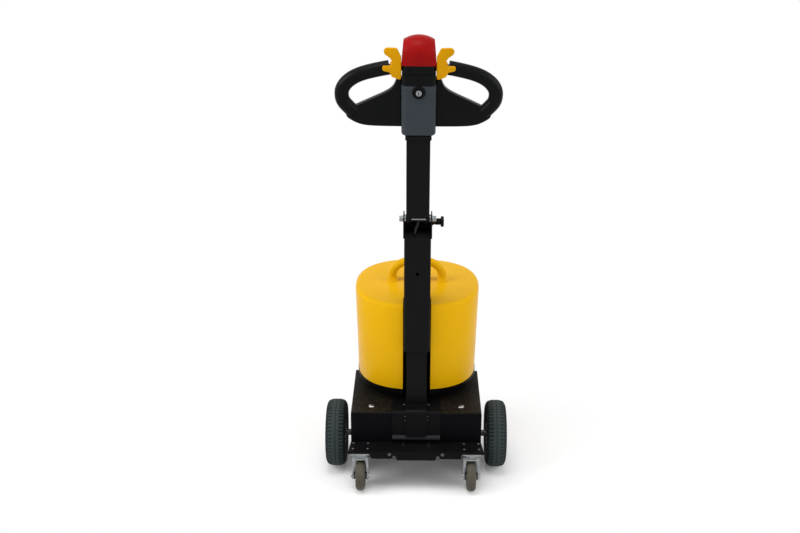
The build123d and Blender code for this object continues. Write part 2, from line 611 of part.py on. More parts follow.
def make_castor_plate(side):
    x, y = castor_place(side)
    half = CASTOR_PLATE / 2
    low = BASE_Z - CASTOR_PLATE_T
    race = low - CASTOR_RACE_H
    nut = race - WASHER_GAP - FORK_CROWN_T - WASHER_GAP
    plate = block(x - half, x + half, y - half, y + half, low, BASE_Z)
    plate = fillet(plate.edges().filter_by(Axis.Z), CASTOR_PLATE_T)
    plate += rod_z(CASTOR_RACE_DIA, race, low, x, y)
    plate += rod_z(KING_PIN_DIA, nut, race, x, y)
    return plate + rod_z(KING_NUT_DIA, nut - KING_NUT_H, nut, x, y)


def make_castor_fork(side):
    x, y = castor_place(side)
    top = BASE_Z - CASTOR_PLATE_T - CASTOR_RACE_H - WASHER_GAP
    low = top - FORK_CROWN_T
    y_axle = y - CASTOR_TRAIL
    inner = CASTOR_HUB_WIDTH / 2 + WASHER_GAP
    boss = FORK_BOSS_DIA / 2
    crown = rod_z(FORK_CROWN_DIA, low, top, x, y)
    crown += block(x - inner - FORK_LEG_T, x + inner + FORK_LEG_T, y_axle, y + boss, low, top)
    for _, leg in SIDES:
        x0, x1 = sorted((x + leg * inner, x + leg * (inner + FORK_LEG_T)))
        web = make_face(Polyline((y_axle, top), (y + boss, top), (y + boss, low - boss),
                                 (y_axle + boss, CASTOR_R), (y_axle - boss, CASTOR_R), close=True))
        web = Plane((x0, 0, 0), x_dir=(0, 1, 0), z_dir=(1, 0, 0)) * extrude(web, FORK_LEG_T)
        crown += web + rod_x(FORK_BOSS_DIA, x0, x1, y_axle, CASTOR_R)
    crown -= rod_z(KING_PIN_DIA + 2 * RUN_GAP, low, top, x, y)
    reach = inner + FORK_LEG_T
    return crown - rod_x(CASTOR_AXLE_DIA + 2 * SEAT_GAP, x - reach, x + reach, y_axle, CASTOR_R)


def make_castor_axle(side):
    x, y = castor_place(side)
    y -= CASTOR_TRAIL
    reach = CASTOR_HUB_WIDTH / 2 + WASHER_GAP + FORK_LEG_T
    axle = rod_x(CASTOR_AXLE_DIA, x - reach, x + reach, y, CASTOR_R)
    for _, end in SIDES:
        axle += rod_x(AXLE_NUT_DIA, x + end * reach, x + end * (reach + AXLE_NUT_T), y, CASTOR_R)
    return axle


def make_castor_hub(side):
    x, y = castor_place(side)
    r = CASTOR_R - CASTOR_TREAD
    w = CASTOR_WHEEL_WIDTH / 2
    bore = CASTOR_AXLE_DIA / 2 + RUN_GAP
    boss = AXLE_NUT_DIA / 2 + CASTOR_BOSS_LIP
    end, floor = CASTOR_HUB_WIDTH / 2, w - CASTOR_DISH
    half = [(end, bore), (end, boss), (floor, boss + CASTOR_BOSS_LIP), (floor, r - CASTOR_DISH), (w, r)]
    points = half + [(-a, b) for a, b in reversed(half)]
    return turned(points, x, y - CASTOR_TRAIL, CASTOR_R)


def make_castor_tread(side):
    x, y = castor_place(side)
    r = CASTOR_R - CASTOR_TREAD + SEAT_GAP
    w = CASTOR_WHEEL_WIDTH / 2
    with BuildSketch() as profile:
        with BuildLine():
            Polyline((-w, CASTOR_R - CASTOR_CROWN), (-w, r), (w, r), (w, CASTOR_R - CASTOR_CROWN))
            ThreePointArc((w, CASTOR_R - CASTOR_CROWN), (0, CASTOR_R), (-w, CASTOR_R - CASTOR_CROWN))
        make_face()
    return Pos(x, y - CASTOR_TRAIL, CASTOR_R) * revolve(profile.sketch, Axis.X)


def make_tow_hitch():
    y0 = AXLE_Y + HOOD_FRONT
    y1 = y0 + HITCH_LENGTH
    t = HITCH_PLATE_T
    body = block(-HITCH_HALF, HITCH_HALF, y0, y0 + t, DECK_Z, HOOD_TOP)
    for z in (DECK_Z, DECK_Z + t + HITCH_GAP):
        jaw = block(-HITCH_HALF, HITCH_HALF, y0, y1, z, z + t)
        body += fillet(jaw.edges().filter_by(Axis.Z).group_by(Axis.Y)[-1], HITCH_HALF / 2)
    return body - rod_z(PIN_HOLE_DIA, DECK_Z, HOOD_TOP, 0, y1 - PIN_EDGE)


os.makedirs("parts", exist_ok=True)
save("base_plate", make_base_plate())
save("hood", make_hood())
save("saddle_plate", make_saddle_plate())
save("mast_strap", make_mast_strap())
save("mast_post", make_mast_post())
save("lower_mast", make_lower_mast())
save("mast_clevis", make_mast_clevis())
save("pivot_bolt", make_pivot_bolt())
save("index_plunger", make_index_plunger())
save("control_cable", make_control_cable())
save("upper_mast", make_upper_mast())
save("neck_housing", make_neck_housing())
save("head_block", make_head_block())
save("belly_button", make_belly_button())
save("key_switch", make_key_switch())
save("drum_cover", make_drum_cover())
save("lifting_hoop", make_lifting_hoop())
save("drum_tray", make_drum_tray())
save("battery_block", make_battery_block())
save("transaxle", make_transaxle())
save("drive_motor", make_drive_motor())
save("tow_hitch", make_tow_hitch())
for label, hand in SIDES:
    save(f"handle_{label}", make_handle(hand))
    save(f"paddle_{label}", make_paddle(hand))
    save(f"half_shaft_{label}", make_half_shaft(hand))
    save(f"rim_{label}", make_rim(hand))
    save(f"tyre_{label}", make_tyre(hand))
    save(f"castor_plate_{label}", make_castor_plate(hand))
    save(f"castor_fork_{label}", make_castor_fork(hand))
    save(f"castor_axle_{label}", make_castor_axle(hand))
    save(f"castor_hub_{label}", make_castor_hub(hand))
    save(f"castor_tread_{label}", make_castor_tread(hand))
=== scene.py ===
import json
import math

import bmesh
import bpy
from bpy.props import FloatProperty, FloatVectorProperty, IntProperty, PointerProperty
from mathutils import Matrix, Vector


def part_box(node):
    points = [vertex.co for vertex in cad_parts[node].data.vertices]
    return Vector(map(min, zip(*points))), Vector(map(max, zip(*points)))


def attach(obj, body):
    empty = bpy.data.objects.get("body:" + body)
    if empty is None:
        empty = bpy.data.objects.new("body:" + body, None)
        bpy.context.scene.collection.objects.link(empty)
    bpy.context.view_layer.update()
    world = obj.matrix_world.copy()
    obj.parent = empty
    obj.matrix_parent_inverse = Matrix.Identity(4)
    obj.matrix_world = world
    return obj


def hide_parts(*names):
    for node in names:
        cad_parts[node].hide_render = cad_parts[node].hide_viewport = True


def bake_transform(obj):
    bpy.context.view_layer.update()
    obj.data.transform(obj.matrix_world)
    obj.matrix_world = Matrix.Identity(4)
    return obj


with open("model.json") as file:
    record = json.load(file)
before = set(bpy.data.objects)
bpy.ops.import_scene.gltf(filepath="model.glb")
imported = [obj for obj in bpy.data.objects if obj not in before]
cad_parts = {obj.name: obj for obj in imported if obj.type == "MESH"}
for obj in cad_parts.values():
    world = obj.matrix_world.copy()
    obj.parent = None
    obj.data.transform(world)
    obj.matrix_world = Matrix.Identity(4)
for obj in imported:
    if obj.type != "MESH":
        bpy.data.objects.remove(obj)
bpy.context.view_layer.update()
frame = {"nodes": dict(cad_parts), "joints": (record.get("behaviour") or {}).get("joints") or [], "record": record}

bl_info = {
    "name": "Tow Tractor Dress",
    "version": (1, 0, 0),
    "blender": (4, 5, 0),
    "location": "3D View > Sidebar > Tow Tractor",
    "description": "Finishes and small pieces of a walk-behind electric tow tractor",
    "category": "Object",
}

SIDES = (("left", -1), ("right", 1))
MM = 0.001
RIGHT, AHEAD, BACK, UP = Vector((1, 0, 0)), Vector((0, 1, 0)), Vector((0, -1, 0)), Vector((0, 0, 1))


def middle(node):
    """Middle of a node's box."""
    low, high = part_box(node)
    return (low + high) / 2


AXLE = middle("tyre_left")
PIVOT = Vector(next(j for j in frame["joints"] if j["name"] == "mast_fold")["pos_m"])
TILLER_LEAN = math.radians(8)
HEAD = Matrix.Translation(PIVOT) @ Matrix.Rotation(TILLER_LEAN, 4, "X")
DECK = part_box("base_plate")[1].z
HOOD_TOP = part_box("hood")[1].z


class StageSettings(bpy.types.PropertyGroup):
    camera_back: FloatProperty(name="Camera Back", description="Camera behind the drive axle",
                               default=2.5, unit="LENGTH")
    camera_height: FloatProperty(name="Camera Height", description="Camera above the floor",
                                 default=1.45, unit="LENGTH")
    pitch: FloatProperty(name="Pitch", description="Camera's tilt below the horizon",
                         default=math.radians(20.5), subtype="ANGLE")
    roll: FloatProperty(name="Roll", description="Camera's turn about its own axis",
                        default=math.radians(0.45), subtype="ANGLE")
    lens: FloatProperty(name="Lens", description="Focal length in millimetres", default=51.75)
    shift: FloatProperty(name="Shift", description="Sideways lens shift as a share of the width",
                         default=-0.02175)
    floor_colour: FloatVectorProperty(name="Floor", description="Floor colour", subtype="COLOR",
                                      default=(0.93, 0.93, 0.93))
    floor_half: FloatProperty(name="Floor Half", description="Half the floor's width", default=40.0,
                              unit="LENGTH")
    shadow_near: FloatProperty(name="Shadow Near", description="Floor shown as lit up to this distance",
                               default=0.15, unit="LENGTH")
    shadow_far: FloatProperty(name="Shadow Far", description="Floor shown as white from this distance",
                              default=0.55, unit="LENGTH")
    sky: FloatProperty(name="Sky", description="Strength of the even light all round", default=0.56)
    key: FloatProperty(name="Key", description="Power of the large lamp on the left", default=72.0,
                       unit="POWER")
    fill: FloatProperty(name="Fill", description="Power of the large lamp on the right", default=46.0,
                        unit="POWER")
    top: FloatProperty(name="Top", description="Power of the lamp above the machine", default=38.0,
                       unit="POWER")


class FinishSettings(bpy.types.PropertyGroup):
    # Same black powder coat as the mast's, set darker on the lower chassis as painted shade
    black_paint_in_shade: FloatVectorProperty(name="Black Paint", description="Powder coat on the chassis",
                                     subtype="COLOR", default=(0.0024, 0.0023, 0.0031))
    mast_black: FloatVectorProperty(name="Mast Black", description="Powder coat on the mast's tubes",
                                    subtype="COLOR", default=(0.0046, 0.0047, 0.0047))
    drum_yellow: FloatVectorProperty(name="Drum Yellow", description="Moulded battery cover",
                                     subtype="COLOR", default=(0.715, 0.390, 0.003))
    paddle_amber: FloatVectorProperty(name="Paddle Amber", description="Thumb paddles", subtype="COLOR",
                                      default=(0.64, 0.30, 0.002))
    button_red: FloatVectorProperty(name="Button Red", description="Safety reverse button",
                                    subtype="COLOR", default=(0.28, 0.0055, 0.0055))
    housing_grey: FloatVectorProperty(name="Housing Grey", description="Neck housing", subtype="COLOR",
                                      default=(0.036, 0.044, 0.053))
    handle_black: FloatVectorProperty(name="Handle Black", description="Handle and head block",
                                      subtype="COLOR", default=(0.0029, 0.0032, 0.0034))
    tyre_grey: FloatVectorProperty(name="Tyre Grey", description="Solid drive tyres", subtype="COLOR",
                                   default=(0.031, 0.040, 0.041))
    # Darker than the tread as painted shade on the tyres' sides
    sidewall_shade: FloatVectorProperty(name="Sidewall", description="Sides of the drive tyres", subtype="COLOR",
                                  default=(0.011, 0.013, 0.0135))
    # Brownish colour laid on up-facing chassis faces: partly dust, partly a painted reflection on the tops
    dust: FloatVectorProperty(name="Dust", description="Dust on the chassis", subtype="COLOR",
                              default=(0.26, 0.19, 0.085))
    castor_beige: FloatVectorProperty(name="Castor Tread", description="Castor wheel treads",
                                      subtype="COLOR", default=(0.080, 0.073, 0.056))
    zinc: FloatVectorProperty(name="Zinc", description="Plated steel", subtype="COLOR",
                              default=(0.34, 0.355, 0.365))


class WheelSettings(bpy.types.PropertyGroup):
    pitches: IntProperty(name="Pitches", description="Sipes round each drive tyre", default=56, min=12)
    sipe_width: FloatProperty(name="Sipe Width", description="Width of a sipe at the tread",
                              default=0.0030, unit="LENGTH")
    sipe_depth: FloatProperty(name="Sipe Depth", description="Depth of a sipe", default=0.0034,
                              unit="LENGTH")
    groove_depth: FloatProperty(name="Groove Depth", description="Depth of the centre groove",
                                default=0.0016, unit="LENGTH")
    hub_bolts: IntProperty(name="Hub Bolts", description="Bolts round each rim", default=5, min=3)
    bolt_circle: FloatProperty(name="Bolt Circle", description="Radius that the hub bolts stand on",
                               default=0.033, unit="LENGTH")
    cap_radius: FloatProperty(name="Cap Radius", description="Cap in the middle of each rim",
                              default=0.019, unit="LENGTH")
    castor_ribs: IntProperty(name="Castor Ribs", description="Ribs round each castor's core", default=8,
                             min=3)
    race_radius: FloatProperty(name="Race Radius", description="Neck of each castor's ball race",
                               default=0.0198, unit="LENGTH")


class FastenerSettings(bpy.types.PropertyGroup):
    dome: FloatProperty(name="Dome Radius", description="Round heads on the hood", default=0.0075,
                        unit="LENGTH")
    screw: FloatProperty(name="Screw Radius", description="Heads that hold the castors", default=0.0032,
                         unit="LENGTH")
    rivet: FloatProperty(name="Rivet Radius", description="Small heads beside the post", default=0.0030,
                         unit="LENGTH")
    lip_nut: FloatProperty(name="Lip Nut", description="Half the width of the nuts on the rear lip",
                           default=0.0035, unit="LENGTH")
    bead: FloatProperty(name="Weld Bead", description="Radius of a weld bead", default=0.0022, unit="LENGTH")


class DrumSettings(bpy.types.PropertyGroup):
    foot_radius: FloatProperty(name="Foot Radius", description="Drum's radius at its foot", default=0.1425,
                               unit="LENGTH")
    rim_height: FloatProperty(name="Rim Height", description="Top of the drum's edge above the floor",
                              default=0.4398, unit="LENGTH")
    slope: FloatProperty(name="Slope", description="Rise of the drum's top from its middle to its front",
                         default=0.0040, unit="LENGTH")
    edge: FloatProperty(name="Edge", description="Radius of the drum's upper edge", default=0.009,
                        unit="LENGTH")
    dome: FloatProperty(name="Dome", description="Rise of the drum's top", default=0.002, unit="LENGTH")
    squareness: FloatProperty(name="Squareness", description="Power of the drum's plan, 2 for a circle",
                              default=2.35, min=2.0)
    facets: IntProperty(name="Facets", description="Points round the drum", default=160, min=32)
    loop_radius: FloatProperty(name="Loop Radius", description="Half the lifting loop's thickness",
                               default=0.0098, unit="LENGTH")
    loop_lift: FloatProperty(name="Loop Lift", description="Loop's top above the plain hoop of the CAD",
                             default=0.003, unit="LENGTH")
    loop_foot: FloatProperty(name="Loop Foot", description="Height of the lifting loop's flared feet",
                             default=0.015, unit="LENGTH")
    loop_flat: FloatProperty(name="Loop Flat", description="Half the straight stretch on the loop's top",
                             default=0.018, unit="LENGTH")


class HeadSettings(bpy.types.PropertyGroup):
    housing_depth: FloatProperty(name="Housing Depth", description="Neck housing from front to back",
                                 default=0.058, unit="LENGTH")
    key_height: FloatProperty(name="Key Height", description="Key switch along the upper mast",
                              default=0.309, unit="LENGTH")
    key_bezel: FloatProperty(name="Key Bezel", description="Diameter of the bezel", default=0.028,
                             unit="LENGTH")
    key_core: FloatProperty(name="Key Core", description="Diameter of the core", default=0.013,
                            unit="LENGTH")
    grip_radius: FloatProperty(name="Grip Radius", description="Half the grip's thickness", default=0.0155,
                               unit="LENGTH")
    wing_depth: FloatProperty(name="Wing Depth", description="Thickness of the handle's flat wing",
                              default=0.020, unit="LENGTH")
    wing_edge: FloatProperty(name="Wing Edge", description="Radius of the wing's edges", default=0.0028,
                             unit="LENGTH")
    arm_height: FloatProperty(name="Arm Height", description="Upper arms' axis along the upper mast",
                              default=0.3546, unit="LENGTH")
    paddle_inside: FloatProperty(name="Paddle Inside", description="Paddles' inner edge from the middle",
                                 default=0.037, unit="LENGTH")
    paddle_front: FloatProperty(name="Paddle Front", description="Paddles' front face", default=-0.023,
                                unit="LENGTH")
    mark_height: FloatProperty(name="Mark Height", description="Small marks on the head block",
                               default=0.3565, unit="LENGTH")


class JointSettings(bpy.types.PropertyGroup):
    bolt_dia: FloatProperty(name="Bolt", description="Pivot bolt's shank", default=0.012, unit="LENGTH")
    bolt_across: FloatProperty(name="Across Flats", description="Pivot bolt's head", default=0.012,
                               unit="LENGTH")
    bolt_head: FloatProperty(name="Head Height", description="Pivot bolt's head", default=0.0092,
                             unit="LENGTH")
    spacer_dia: FloatProperty(name="Spacers", description="Washers between the ears and the upper tube",
                              default=0.020, unit="LENGTH")
    cheek_radius: FloatProperty(name="Cheeks", description="Thick cheeks inside the upper tube's lugs",
                                default=0.0136, unit="LENGTH")
    plunger_reach: FloatProperty(name="Plunger Reach", description="Index plunger's length outside the ear",
                                 default=0.027, unit="LENGTH")
    pull: FloatProperty(name="Pull Radius", description="Index plunger's pull", default=0.0122,
                        unit="LENGTH")
    barrel: FloatProperty(name="Barrel Radius", description="Index plunger's barrel", default=0.0071,
                          unit="LENGTH")
    knurls: IntProperty(name="Knurls", description="Ribs round the plunger's barrel", default=22, min=6)
    bush_dia: FloatProperty(name="Bush", description="Bush between the lugs", default=0.014, unit="LENGTH")
    bush_length: FloatProperty(name="Bush Length", description="Bush between the lugs", default=0.0454,
                               unit="LENGTH")
    tube_inside: FloatProperty(name="Tube Inside", description="Half the upper tube's inner width",
                               default=0.023, unit="LENGTH")
    cable_dia: FloatProperty(name="Cable", description="Control cable's diameter", default=0.007,
                             unit="LENGTH")
    cable_left: FloatProperty(name="Cable Start", description="Where the cable leaves the sleeve, sideways",
                              default=-0.008, unit="LENGTH")
    cable_drift: FloatProperty(name="Cable Drift", description="Sideways step of the cable in the joint",
                               default=0.012, unit="LENGTH")
    cable_back: FloatProperty(name="Cable Back", description="Cable behind the pivot", default=0.016,
                              unit="LENGTH")
    cable_below: FloatProperty(name="Cable Below", description="Cable's start below the pivot",
                               default=0.055, unit="LENGTH")
    cable_above: FloatProperty(name="Cable Above", description="Cable's end above the pivot",
                               default=0.040, unit="LENGTH")


def shader_group(name, inputs, outputs):
    """Empty shader group with named sockets; gives the tree, its input and its output."""
    tree = bpy.data.node_groups.new(name, "ShaderNodeTree")
    for label, kind, value in inputs:
        socket = tree.interface.new_socket(label, in_out="INPUT", socket_type="NodeSocket" + kind)
        socket.default_value = value
    for label, kind in outputs:
        tree.interface.new_socket(label, in_out="OUTPUT", socket_type="NodeSocket" + kind)
    return tree, tree.nodes.new("NodeGroupInput"), tree.nodes.new("NodeGroupOutput")


def add(tree, kind, **settings):
    """New node with its own settings."""
    node = tree.nodes.new(kind)
    for key, value in settings.items():
        setattr(node, key, value)
    return node


def feed(tree, value, socket):
    """Number set on a socket, or another node's output linked to it."""
    if isinstance(value, bpy.types.NodeSocket):
        tree.links.new(value, socket)
    else:
        socket.default_value = value


def noise(tree, scale, detail, coords, roughness=0.5):
    """Noise texture read at the given coordinates."""
    node = add(tree, "ShaderNodeTexNoise")
    for label, value in (("Detail", detail), ("Roughness", roughness), ("Vector", coords), ("Scale", scale)):
        feed(tree, value, node.inputs[label])
    return node.outputs["Fac"]


def stretch(tree, value, low, high, to_low=0.0, to_high=1.0):
    """Value mapped from one range to another and clamped."""
    node = add(tree, "ShaderNodeMapRange")
    tree.links.new(value, node.inputs["Value"])
    for label, number in (("From Min", low), ("From Max", high), ("To Min", to_low), ("To Max", to_high)):
        node.inputs[label].default_value = number
    return node.outputs["Result"]


def maths(tree, a, b, operation="MULTIPLY"):
    """Result of one maths operation on two values; b may be a number."""
    node = add(tree, "ShaderNodeMath", operation=operation)
    feed(tree, a, node.inputs[0])
    feed(tree, b, node.inputs[1])
    return node.outputs[0]


def blend_colours(tree, mask, a, b):
    """Colour a where the mask is 0 and b where it is 1."""
    node = add(tree, "ShaderNodeMix", data_type="RGBA")
    factor, first, second = node.inputs[0], node.inputs[6], node.inputs[7]
    feed(tree, mask, factor)
    for socket, value in ((first, a), (second, b)):
        feed(tree, value if isinstance(value, bpy.types.NodeSocket) else (*value, 1.0), socket)
    return node.outputs[2]


def object_coords(tree):
    """Coordinates of the piece itself."""
    return add(tree, "ShaderNodeTexCoord").outputs["Object"]


def make_tone_group():
    """Slow drift of colour over a surface, and a colour laid on what faces up: dust, which on the chassis is also
    a painted brownish reflection on the tops.
    """
    tree, inside, out = shader_group(
        "tone_and_dust",
        (("Colour", "Color", (0.5, 0.5, 0.5, 1)), ("Tint", "Color", (0.4, 0.4, 0.4, 1)),
         ("Scale", "Float", 14.0), ("Drift", "Float", 0.5), ("Dust", "Color", (0.3, 0.29, 0.27, 1)),
         ("Dust Amount", "Float", 0.05)),
        (("Colour", "Color"), ("Mask", "Float")))
    coords = object_coords(tree)
    drift = stretch(tree, noise(tree, inside.outputs["Scale"], 5.0, coords), 0.34, 0.66)
    toned = blend_colours(tree, maths(tree, drift, inside.outputs["Drift"]), inside.outputs["Colour"],
                          inside.outputs["Tint"])
    facing = add(tree, "ShaderNodeSeparateXYZ")
    tree.links.new(add(tree, "ShaderNodeNewGeometry").outputs["Normal"], facing.inputs[0])
    up = stretch(tree, facing.outputs["Z"], 0.2, 1.0)
    speck_scale = 420.0
    specks = stretch(tree, noise(tree, speck_scale, 3.0, coords, 0.7), 0.45, 0.75)
    dust_and_sheen_mask = maths(tree, maths(tree, up, specks), inside.outputs["Dust Amount"])
    tree.links.new(blend_colours(tree, dust_and_sheen_mask, toned, inside.outputs["Dust"]), out.inputs["Colour"])
    tree.links.new(drift, out.inputs["Mask"])
    return tree


def make_grain_group():
    """Height of a fine moulded or sprayed surface."""
    tree, inside, out = shader_group("surface_grain",
                                     (("Scale", "Float", 600.0), ("Coarse Share", "Float", 0.4)),
                                     (("Height", "Float"),))
    coords = object_coords(tree)
    coarser = 0.22
    fine = noise(tree, inside.outputs["Scale"], 3.0, coords, 0.6)
    coarse = noise(tree, maths(tree, inside.outputs["Scale"], coarser), 2.0, coords)
    total = maths(tree, fine, maths(tree, coarse, inside.outputs["Coarse Share"]), "ADD")
    tree.links.new(total, out.inputs["Height"])
    return tree


def make_marks_group():
    """Thin handling marks that run mostly one way, in patches."""
    tree, inside, out = shader_group("handling_marks",
                                     (("Scale", "Float", 9.0), ("Amount", "Float", 0.5)),
                                     (("Mask", "Float"),))
    coords = object_coords(tree)
    mapping = add(tree, "ShaderNodeMapping")
    mapping.inputs["Scale"].default_value = (1.0, 14.0, 22.0)
    mapping.inputs["Rotation"].default_value = (0.3, 0.2, 0.5)
    tree.links.new(coords, mapping.inputs["Vector"])
    streaks = noise(tree, inside.outputs["Scale"], 4.0, mapping.outputs["Vector"], 0.65)
    lines = stretch(tree, streaks, 0.64, 0.74)
    patch_scale = 7.0
    patches = stretch(tree, noise(tree, patch_scale, 2.0, coords), 0.45, 0.65)
    tree.links.new(maths(tree, maths(tree, lines, patches), inside.outputs["Amount"]), out.inputs["Mask"])
    return tree


GROUPS = {}


def use_group(tree, name, **values):
    """One shared group placed in a material with its own values."""
    node = add(tree, "ShaderNodeGroup", node_tree=GROUPS[name])
    for label, value in values.items():
        socket = node.inputs[label.replace("_", " ")]
        socket.default_value = (*value, 1.0) if isinstance(value, (tuple, list)) else value
    return node


def finish(name, colour, tint, rough, grain, drift=0.5, scale=14.0, dust=0.05, marks=0.0, metal=0.0,
           shine=0.5, dust_colour=(0.3, 0.29, 0.27)):
    """Painted, moulded or plated surface. rough is a (smooth, rough) pair and grain (scale, depth)."""
    scuff_share, bump_strength = 0.3, 0.6
    mat = bpy.data.materials.new(name)
    mat.use_nodes = True
    tree = mat.node_tree
    shader = tree.nodes["Principled BSDF"]
    shader.inputs["Metallic"].default_value = metal
    shader.inputs["Specular IOR Level"].default_value = shine
    tone = use_group(tree, "tone", Colour=tuple(colour), Tint=tuple(tint), Scale=scale, Drift=drift,
                     Dust_Amount=dust, Dust=tuple(dust_colour))
    tree.links.new(tone.outputs["Colour"], shader.inputs["Base Color"])
    roughness = stretch(tree, tone.outputs["Mask"], 0.0, 1.0, *rough)
    if marks:
        scuffs = use_group(tree, "marks", Amount=marks)
        roughness = maths(tree, roughness, maths(tree, scuffs.outputs["Mask"], scuff_share), "ADD")
    tree.links.new(roughness, shader.inputs["Roughness"])
    height = use_group(tree, "grain", Scale=grain[0])
    bump = add(tree, "ShaderNodeBump")
    bump.inputs["Strength"].default_value = bump_strength
    bump.inputs["Distance"].default_value = grain[1]
    tree.links.new(height.outputs["Height"], bump.inputs["Height"])
    tree.links.new(bump.outputs["Normal"], shader.inputs["Normal"])
    return mat


def shade_sidewalls(mat, sidewall_shade):
    """Tyre's sides darker than its tread as painted shade, by the distance from the wheel's middle."""
    tread_ends, side_begins = 0.0165, 0.0205
    tree = mat.node_tree
    tone = next(n for n in tree.nodes if n.bl_idname == "ShaderNodeGroup" and n.node_tree == GROUPS["tone"])
    spot = add(tree, "ShaderNodeSeparateXYZ")
    tree.links.new(object_coords(tree), spot.inputs[0])
    out = maths(tree, maths(tree, spot.outputs["X"], 1.0, "ABSOLUTE"), abs(AXLE.x), "SUBTRACT")
    side = stretch(tree, maths(tree, out, 1.0, "ABSOLUTE"), tread_ends, side_begins)
    tread = tuple(tone.inputs["Colour"].default_value)[:3]
    tree.links.new(blend_colours(tree, side, tread, sidewall_shade), tone.inputs["Colour"])
    return mat


FINISHES = {}


def share_of(colour, share):
    """Darker or lighter colour of the same hue."""
    return tuple(c * share for c in colour)


def shaded(name, colour, share, **looks):
    """Finish that drifts between a colour and a share of it."""
    return finish(name, colour, share_of(colour, share), **looks)


def make_finishes(s):
    """All finishes of the machine, by the record's material slot or a name of their own."""
    GROUPS.update(tone=make_tone_group(), grain=make_grain_group(), marks=make_marks_group())
    paint = dict(rough=(0.38, 0.50), grain=(700.0, 0.00012), marks=0.4)
    plastic = dict(grain=(1500.0, 0.00008), dust=0.008)
    metal = dict(metal=1.0, dust=0.02, marks=0.6)
    tyre = shaded("tyre_rubber", s.tyre_grey, 1.5, rough=(0.62, 0.8), grain=(900.0, 0.0003), shine=0.10,
                  dust=0.06, scale=30.0, drift=0.3)
    # On the chassis the brownish colour on up-facing faces is partly dust, partly a painted reflection
    FINISHES.update({
        # Chassis and deck black: darker than the mast's as painted shade
        "chassis_paint": shaded("satin_black_chassis_in_shade", s.black_paint_in_shade, 1.5, shine=0.035, dust=0.17,
                                dust_colour=s.dust, **paint),
        "deck_paint": shaded("satin_black_deck_in_shade", s.black_paint_in_shade, 1.5, shine=0.06, dust=0.02,
                             dust_colour=s.dust, **paint),
        "mast_paint": shaded("satin_black_mast", s.mast_black, 1.4, shine=0.06, dust=0.01, **paint),
        "motor_paint": shaded("motor_black", s.mast_black, 2.0, shine=0.1, **paint),
        "drum_yellow": shaded("moulded_yellow", s.drum_yellow, 0.93, rough=(0.26, 0.34), shine=0.04,
                              scale=9.0, **plastic),
        "paddle_yellow": shaded("paddle_amber", s.paddle_amber, 0.85, rough=(0.28, 0.36), shine=0.03,
                                **plastic),
        "button_red": shaded("button_red", s.button_red, 0.75, rough=(0.28, 0.36), shine=0.04, scale=30.0,
                             **plastic),
        "housing_grey": shaded("housing_grey", s.housing_grey, 0.85, rough=(0.40, 0.50), shine=0.10,
                               **plastic),
        "handle_black": shaded("handle_black", s.handle_black, 1.6, rough=(0.26, 0.36), shine=0.07,
                               **plastic),
        "tray_black": finish("tray_black", share_of(s.handle_black, 0.6), s.handle_black, rough=(0.5, 0.6),
                             shine=0.03, **plastic),
        "battery_case": finish("battery_case", (0.05, 0.05, 0.055), (0.04, 0.04, 0.045),
                               rough=(0.45, 0.55), shine=0.2, **plastic),
        "tyre_rubber": shade_sidewalls(tyre, s.sidewall_shade),
        "castor_rubber": shaded("castor_tread", s.castor_beige, 0.6, rough=(0.45, 0.6),
                                grain=(800.0, 0.0002), shine=0.12, dust=0.05, scale=40.0),
        "castor_core": finish("castor_core", (0.06, 0.057, 0.055), (0.045, 0.042, 0.04), rough=(0.45, 0.55),
                              shine=0.15, **plastic),
        "zinc": shaded("zinc_plate", s.zinc, 0.62, rough=(0.28, 0.42), grain=(1200.0, 0.00006), scale=60.0,
                       drift=0.8, **metal),
        "steel": finish("turned_steel", (0.52, 0.51, 0.49), (0.42, 0.41, 0.40), rough=(0.26, 0.36),
                        grain=(1800.0, 0.00005), **metal),
        "oxide": finish("oxide_steel", (0.10, 0.10, 0.105), (0.07, 0.07, 0.075), rough=(0.34, 0.44),
                        grain=(1500.0, 0.00005), **metal),
        # Near black: painted shade standing for the inside of a hole
        "hole_shade": finish("painted_hole_shade", (0.0004, 0.0004, 0.0004), (0.0006, 0.0006, 0.0006), rough=(0.8, 0.9),
                       shine=0.0, **plastic),
        # Dark grey: the flange screws' own colour, and a painted highlight on the saddle's foot
        "lit_edge_and_screw_grey": finish("lit_edge_and_screw_grey", (0.015, 0.014, 0.016), (0.010, 0.009, 0.011), rough=(0.38, 0.48),
                            grain=(900.0, 0.0001), shine=0.12, dust=0.02, scale=50.0),
        "casting": finish("painted_casting", (0.03, 0.03, 0.031), (0.045, 0.045, 0.046), rough=(0.5, 0.65),
                          grain=(260.0, 0.0006), shine=0.2, dust=0.08),
        "rim_grey": finish("rim_paint", (0.30, 0.31, 0.32), (0.24, 0.25, 0.26), rough=(0.38, 0.48),
                           grain=(700.0, 0.0001), shine=0.3, dust=0.05),
        "shaft_black": finish("half_shaft", (0.085, 0.075, 0.08), (0.04, 0.036, 0.038), rough=(0.35, 0.5),
                              grain=(900.0, 0.0001), metal=0.6, dust=0.05, scale=80.0),
        "cable_sheath": finish("cable_sheath", (0.008, 0.008, 0.009), (0.014, 0.014, 0.014),
                               rough=(0.30, 0.40), shine=0.25, **plastic),
    })


# Nodes that look different from the rest of their slot
OWN_LOOKS = {"base_plate": "deck_paint", "saddle_plate": "deck_paint", "mast_strap": "deck_paint",
             "drum_tray": "chassis_paint"}


def paint_nodes():
    """Each CAD node takes its own look or the finish of its slot."""
    for part in frame["record"]["subparts"]:
        node = frame["nodes"][part["node"]]
        node.data.materials.clear()
        node.data.materials.append(FINISHES[OWN_LOOKS.get(part["node"], part["material_slot"])])


def new_piece(name, data):
    """Object for a mesh, lamp, camera or curve, linked to the scene."""
    obj = bpy.data.objects.new(name, data)
    bpy.context.scene.collection.objects.link(obj)
    return obj


